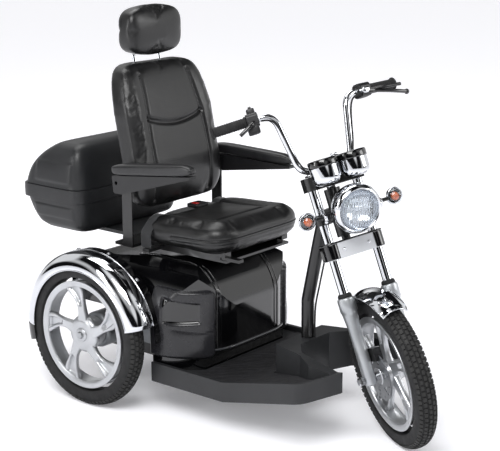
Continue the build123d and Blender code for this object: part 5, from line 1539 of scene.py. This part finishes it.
class SCOOTER_OT_luggage_case(bpy.types.Operator):
    """Mould the luggage case: hollow tub with its band, and the lid with raised side panels"""
    bl_idname = "scooter.luggage_case"
    bl_label = "Luggage case"

    def execute(self, context):
        def tub_panel(x, y, z, half):
            """Shallow raised field on each end of the tub."""
            return 3.0 * (np.abs(x) > 0.93 * half) * step_up(y, 552, 562) * (1 - step_up(y, 742, 752)) \
                * step_up(z, 590, 598) * (1 - step_up(z, 630, 638)) * (half > 240)

        def lid_panel(x, y, z, half):
            """Raised field on each end of the lid."""
            return 3.5 * (np.abs(x) > 0.93 * half) * step_up(y, 556, 568) * (1 - step_up(y, 728, 740)) \
                * step_up(z, 716, 724) * (1 - step_up(z, 786, 796)) * (half > 236)

        tub = [
            (549, 0, 628, 628), (548, 120, 575, 680), (548.5, 205, 541, 712), (551, 227, 531, 722),
            (558, 238, 527, 734),
            (572, 248, 523.5, 757), (600, 253, 521.5, 781), (632, 256, 520.5, 799), (649, 257.5, 520, 806),
            (652.5, 258, 520, 808), (653.5, 262, 518.5, 820), (656, 263.5, 517.5, 822.5),
            (676, 264, 517.2, 823),
            (697, 263.5, 517.5, 822.5), (699.6, 262, 518.5, 820.5), (699.8, 254, 526, 808),
            (690, 253, 526, 806),
            (640, 251, 526, 794), (590, 246, 528, 768), (562, 236, 534, 732), (555, 222, 541, 716),
            (553, 120, 580, 675),
            (553, 0, 628, 628)]
        lid = [
            (701, 252, 528, 806), (700.6, 258, 523, 812), (702, 261, 520, 816), (708, 260.5, 520.3, 815),
            (740, 257.5, 521.5, 803),
            (768, 254, 524, 785), (796, 248, 528.5, 757), (818, 240, 534.5, 728), (836, 228, 543, 700),
            (848, 212, 554, 678), (855, 188, 570, 655), (858, 130, 592, 632), (858.5, 0, 612, 612)]
        inside = [(854, 0, 612, 612), (853, 130, 594, 630), (849, 186, 574, 650), (838, 212, 558, 675),
                  (815, 234, 540, 724), (790, 244, 533, 756), (760, 250, 529, 782), (710, 255, 526, 808),
                  (701, 252, 528, 806)]
        body = loft_shell("case_tub_moulding", tub, 8.0, "case plastic", "chassis", tub_panel,
                          190)
        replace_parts(body, "case_tub")
        cover = loft_shell("case_lid_moulding", lid + inside, 7.0, "case plastic", "luggage_lid",
                           lid_panel, 190)
        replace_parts(cover, "case_lid")
        for x in (-0.15, 0.15):
            rounded_block(f"case_catch_{x}", (x, 0.8235, 0.698), ((1, 0, 0), (0, 1, 0), (0, 0, 1)),
                          (24, 5.5, 15), 6,
                          "satin plastic", "chassis")
        return {"FINISHED"}


LEADS = {
    "control_lead_left": ("steering", [
        (171, -33, 860), (146, -39, 858), (127, -41, 836), (113, -38, 780), (101, -37, 722), (84, -39, 680),
        (74, -41, 651.4)]),
    "control_lead_right": ("steering", [
        (-171, -33, 860), (-146, -39, 858), (-127, -41, 836), (-113, -38, 780), (-101, -37, 722),
        (-84, -39, 680),
        (-74, -41, 651.4)]),
    "frame_lead": ("chassis", [
        (0.006, -0.2864, 0.2835), (0.006, -0.286, 0.340), (0.006, -0.288, 0.396), (0.009, -0.299, 0.452),
        (0.009, -0.312, 0.510), (0.009, -0.324, 0.566), (0.009, -0.337, 0.620)]),
}


class SCOOTER_OT_leads(bpy.types.Operator):
    """Run the control leads down the bars and the frame"""
    bl_idname = "scooter.leads"
    bl_label = "Leads"

    def execute(self, context):
        for node, (body, route) in LEADS.items():
            points = on_fork(route) if body == "steering" else np.array(route)
            curve = bpy.data.curves.new(f"{node}_sheath", "CURVE")
            curve.dimensions = "3D"
            curve.bevel_depth = 0.003
            curve.bevel_resolution = 3
            curve.resolution_u = 12
            spline = curve.splines.new("NURBS")
            spline.points.add(len(points) - 1)
            spline.points.foreach_set("co", np.column_stack([points, np.ones(len(points))]).ravel())
            spline.order_u = 3
            spline.use_endpoint_u = True
            curve.materials.append(material("rubber"))
            piece = bpy.data.objects.new(f"{node}_sheath", curve)
            context.scene.collection.objects.link(piece)
            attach(piece, body)
            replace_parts(piece, node)
        return {"FINISHED"}


def studio_paper(colour):
    """Pale paper that takes the shadow, and glows a little to the camera and in reflections."""
    made, tree, coords = new_material("studio paper")
    path = add_node(tree, "ShaderNodeLightPath")
    seen = path.outputs["Is Camera Ray"]
    for ray in ("Is Glossy Ray", "Is Transmission Ray"):
        seen = add_node(tree, "ShaderNodeMath", {0: seen, 1: path.outputs[ray]},
                        operation="MAXIMUM").outputs[0]
    away = add_node(tree, "ShaderNodeVectorMath", {0: coords}, operation="LENGTH")
    glow = add_node(
        tree, "ShaderNodeMapRange",
        {"Value": away.outputs["Value"], "From Min": 1.2, "From Max": 5.0, "To Min": 0.16, "To Max": 0.40})
    strength = add_node(tree, "ShaderNodeMath", {0: seen, 1: glow.outputs["Result"]}, operation="MULTIPLY")
    matt = add_node(tree, "ShaderNodeBsdfDiffuse", {"Color": colour, "Roughness": 0.9})
    light = add_node(tree, "ShaderNodeEmission", {"Color": linear("fbfbff"), "Strength": strength.outputs[0]})
    both = add_node(tree, "ShaderNodeAddShader", {0: matt.outputs[0], 1: light.outputs[0]})
    add_node(tree, "ShaderNodeOutputMaterial", {"Surface": both.outputs[0]})
    return made


class SCOOTER_OT_studio(bpy.types.Operator):
    """Set the floor, the backdrop, the lamps and the camera"""
    bl_idname = "scooter.studio"
    bl_label = "Studio"

    def execute(self, context):
        scene = context.scene
        studio = scene.scooter_studio
        scene.view_settings.view_transform = "Standard"
        paper = studio_paper(tuple(studio.floor_colour))
        mesh = bpy.data.meshes.new("studio_floor")
        mesh.from_pydata([(-30, -30, 0), (30, -30, 0), (30, 30, 0), (-30, 30, 0)], [], [(0, 1, 2, 3)])
        mesh.materials.append(paper)
        floor = bpy.data.objects.new("studio_floor", mesh)
        scene.collection.objects.link(floor)

        world = bpy.data.worlds.new("studio surround")
        scene.world = world
        world.use_nodes = True
        tree = world.node_tree
        tree.nodes.clear()
        path = add_node(tree, "ShaderNodeLightPath")
        seen = add_node(tree, "ShaderNodeMath",
                        {0: path.outputs["Is Camera Ray"], 1: path.outputs["Is Transmission Ray"]},
                        operation="MAXIMUM")
        soft = add_node(tree, "ShaderNodeBackground", {"Color": linear("ffffff"), "Strength": 0.6})
        way = add_node(tree, "ShaderNodeTexCoord").outputs["Generated"]
        screens = add_node(tree, "ShaderNodeTexNoise", {"Vector": way, "Scale": 1.7, "Detail": 0.0})
        cards = add_node(tree, "ShaderNodeValToRGB", {"Fac": screens.outputs["Fac"]})
        cards.color_ramp.elements[0].position = 0.44
        cards.color_ramp.elements[0].color = linear("141416")
        cards.color_ramp.elements[1].position = 0.60
        cards.color_ramp.elements[1].color = linear("ffffff")
        room = add_node(tree, "ShaderNodeBackground", {"Color": cards.outputs["Color"], "Strength": 0.9})
        light = add_node(tree, "ShaderNodeMixShader", {0: path.outputs["Is Glossy Ray"], 1: soft.outputs[0],
                                                       2: room.outputs[0]})
        sky = add_node(tree, "ShaderNodeBackground", {"Color": linear("f8f8fb"), "Strength": 1.0})
        mixed = add_node(tree, "ShaderNodeMixShader",
                         {0: seen.outputs[0], 1: light.outputs[0], 2: sky.outputs[0]})
        add_node(tree, "ShaderNodeOutputWorld", {"Surface": mixed.outputs[0]})

        lamps = (
            ("key softbox", (-2.6, -1.2, 3.2), (0.0, 0.0, 0.55), 2.2, 1.6, 95),
            ("fill softbox", (1.9, -3.4, 2.2), (0.0, -0.2, 0.5), 1.6, 1.8, 40),
            ("top softbox", (0.3, 1.2, 3.8), (0.0, 0.1, 0.5), 2.6, 2.0, 60),
            ("side strip", (-3.4, 1.6, 1.6), (0.0, 0.2, 0.6), 0.5, 2.2, 26),
        )
        for name, place, aim, width, height, power in lamps:
            data = bpy.data.lights.new(name, "AREA")
            data.shape = "RECTANGLE"
            data.size = width
            data.size_y = height
            data.energy = power
            lamp = bpy.data.objects.new(name, data)
            lamp.location = place
            lamp.rotation_euler = (Vector(aim) - Vector(place)).to_track_quat("-Z", "Y").to_euler()
            scene.collection.objects.link(lamp)

        data = bpy.data.cameras.new("camera")
        data.lens = CAMERA_LENS
        data.sensor_width = 36
        data.clip_end = 100
        camera = bpy.data.objects.new("camera", data)
        target = Vector(CAMERA_AIM)
        azimuth, elevation = math.radians(CAMERA_ROUND), math.radians(CAMERA_UP)
        back = Vector((
            math.sin(azimuth) * math.cos(elevation), -math.cos(azimuth) * math.cos(elevation),
            math.sin(elevation)))
        camera.location = target + back * CAMERA_AWAY
        look = (-back).to_track_quat("-Z", "Y")
        camera.rotation_euler = (look.to_matrix() @ Euler((0, 0,
                                                           math.radians(CAMERA_ROLL))).to_matrix()).to_euler()
        scene.collection.objects.link(camera)
        scene.camera = camera
        return {"FINISHED"}


STEPS = (
    SCOOTER_OT_studio, SCOOTER_OT_finishes, SCOOTER_OT_tyres, SCOOTER_OT_wheels, SCOOTER_OT_fork,
    SCOOTER_OT_shroud_trim, SCOOTER_OT_side_covers, SCOOTER_OT_rear_fenders, SCOOTER_OT_luggage_case,
    SCOOTER_OT_front_fender, SCOOTER_OT_headlamp, SCOOTER_OT_signals, SCOOTER_OT_dials, SCOOTER_OT_controls,
    SCOOTER_OT_seat_cushion, SCOOTER_OT_backrest, SCOOTER_OT_headrest, SCOOTER_OT_armrests,
    SCOOTER_OT_lap_belt,
    SCOOTER_OT_leads,
)


class SCOOTER_PT_panel(bpy.types.Panel):
    """Lists the settings and the steps"""
    bl_idname = "SCOOTER_PT_panel"
    bl_label = "Scooter"
    bl_space_type = "VIEW_3D"
    bl_region_type = "UI"
    bl_category = "Scooter"

    def draw(self, context):
        layout = self.layout
        scene = context.scene
        for group in (scene.scooter_tyres, scene.scooter_upholstery, scene.scooter_studio):
            box = layout.box()
            for key in group.bl_rna.properties.keys():
                if key not in ("rna_type", "name"):
                    box.prop(group, key)
        for operator in STEPS:
            layout.operator(operator.bl_idname)


GROUPS = {
    "scooter_tyres": ScooterTyreSettings,
    "scooter_upholstery": ScooterUpholsterySettings,
    "scooter_studio": ScooterStudioSettings,
}


def register():
    """Registers the settings, the steps and the panel."""
    for name, group in GROUPS.items():
        bpy.utils.register_class(group)
        setattr(bpy.types.Scene, name, bpy.props.PointerProperty(type=group))
    for item in (*STEPS, SCOOTER_PT_panel):
        bpy.utils.register_class(item)


def unregister():
    """Takes the panel, the steps and the settings away again."""
    for item in (SCOOTER_PT_panel, *reversed(STEPS)):
        bpy.utils.unregister_class(item)
    for name, group in GROUPS.items():
        delattr(bpy.types.Scene, name)
        bpy.utils.unregister_class(group)


def main():
    """Runs every step in order."""
    register()
    for operator in STEPS:
        space, name = operator.bl_idname.split(".")
        getattr(getattr(bpy.ops, space), name)()


if __name__ == "__main__":
    main()
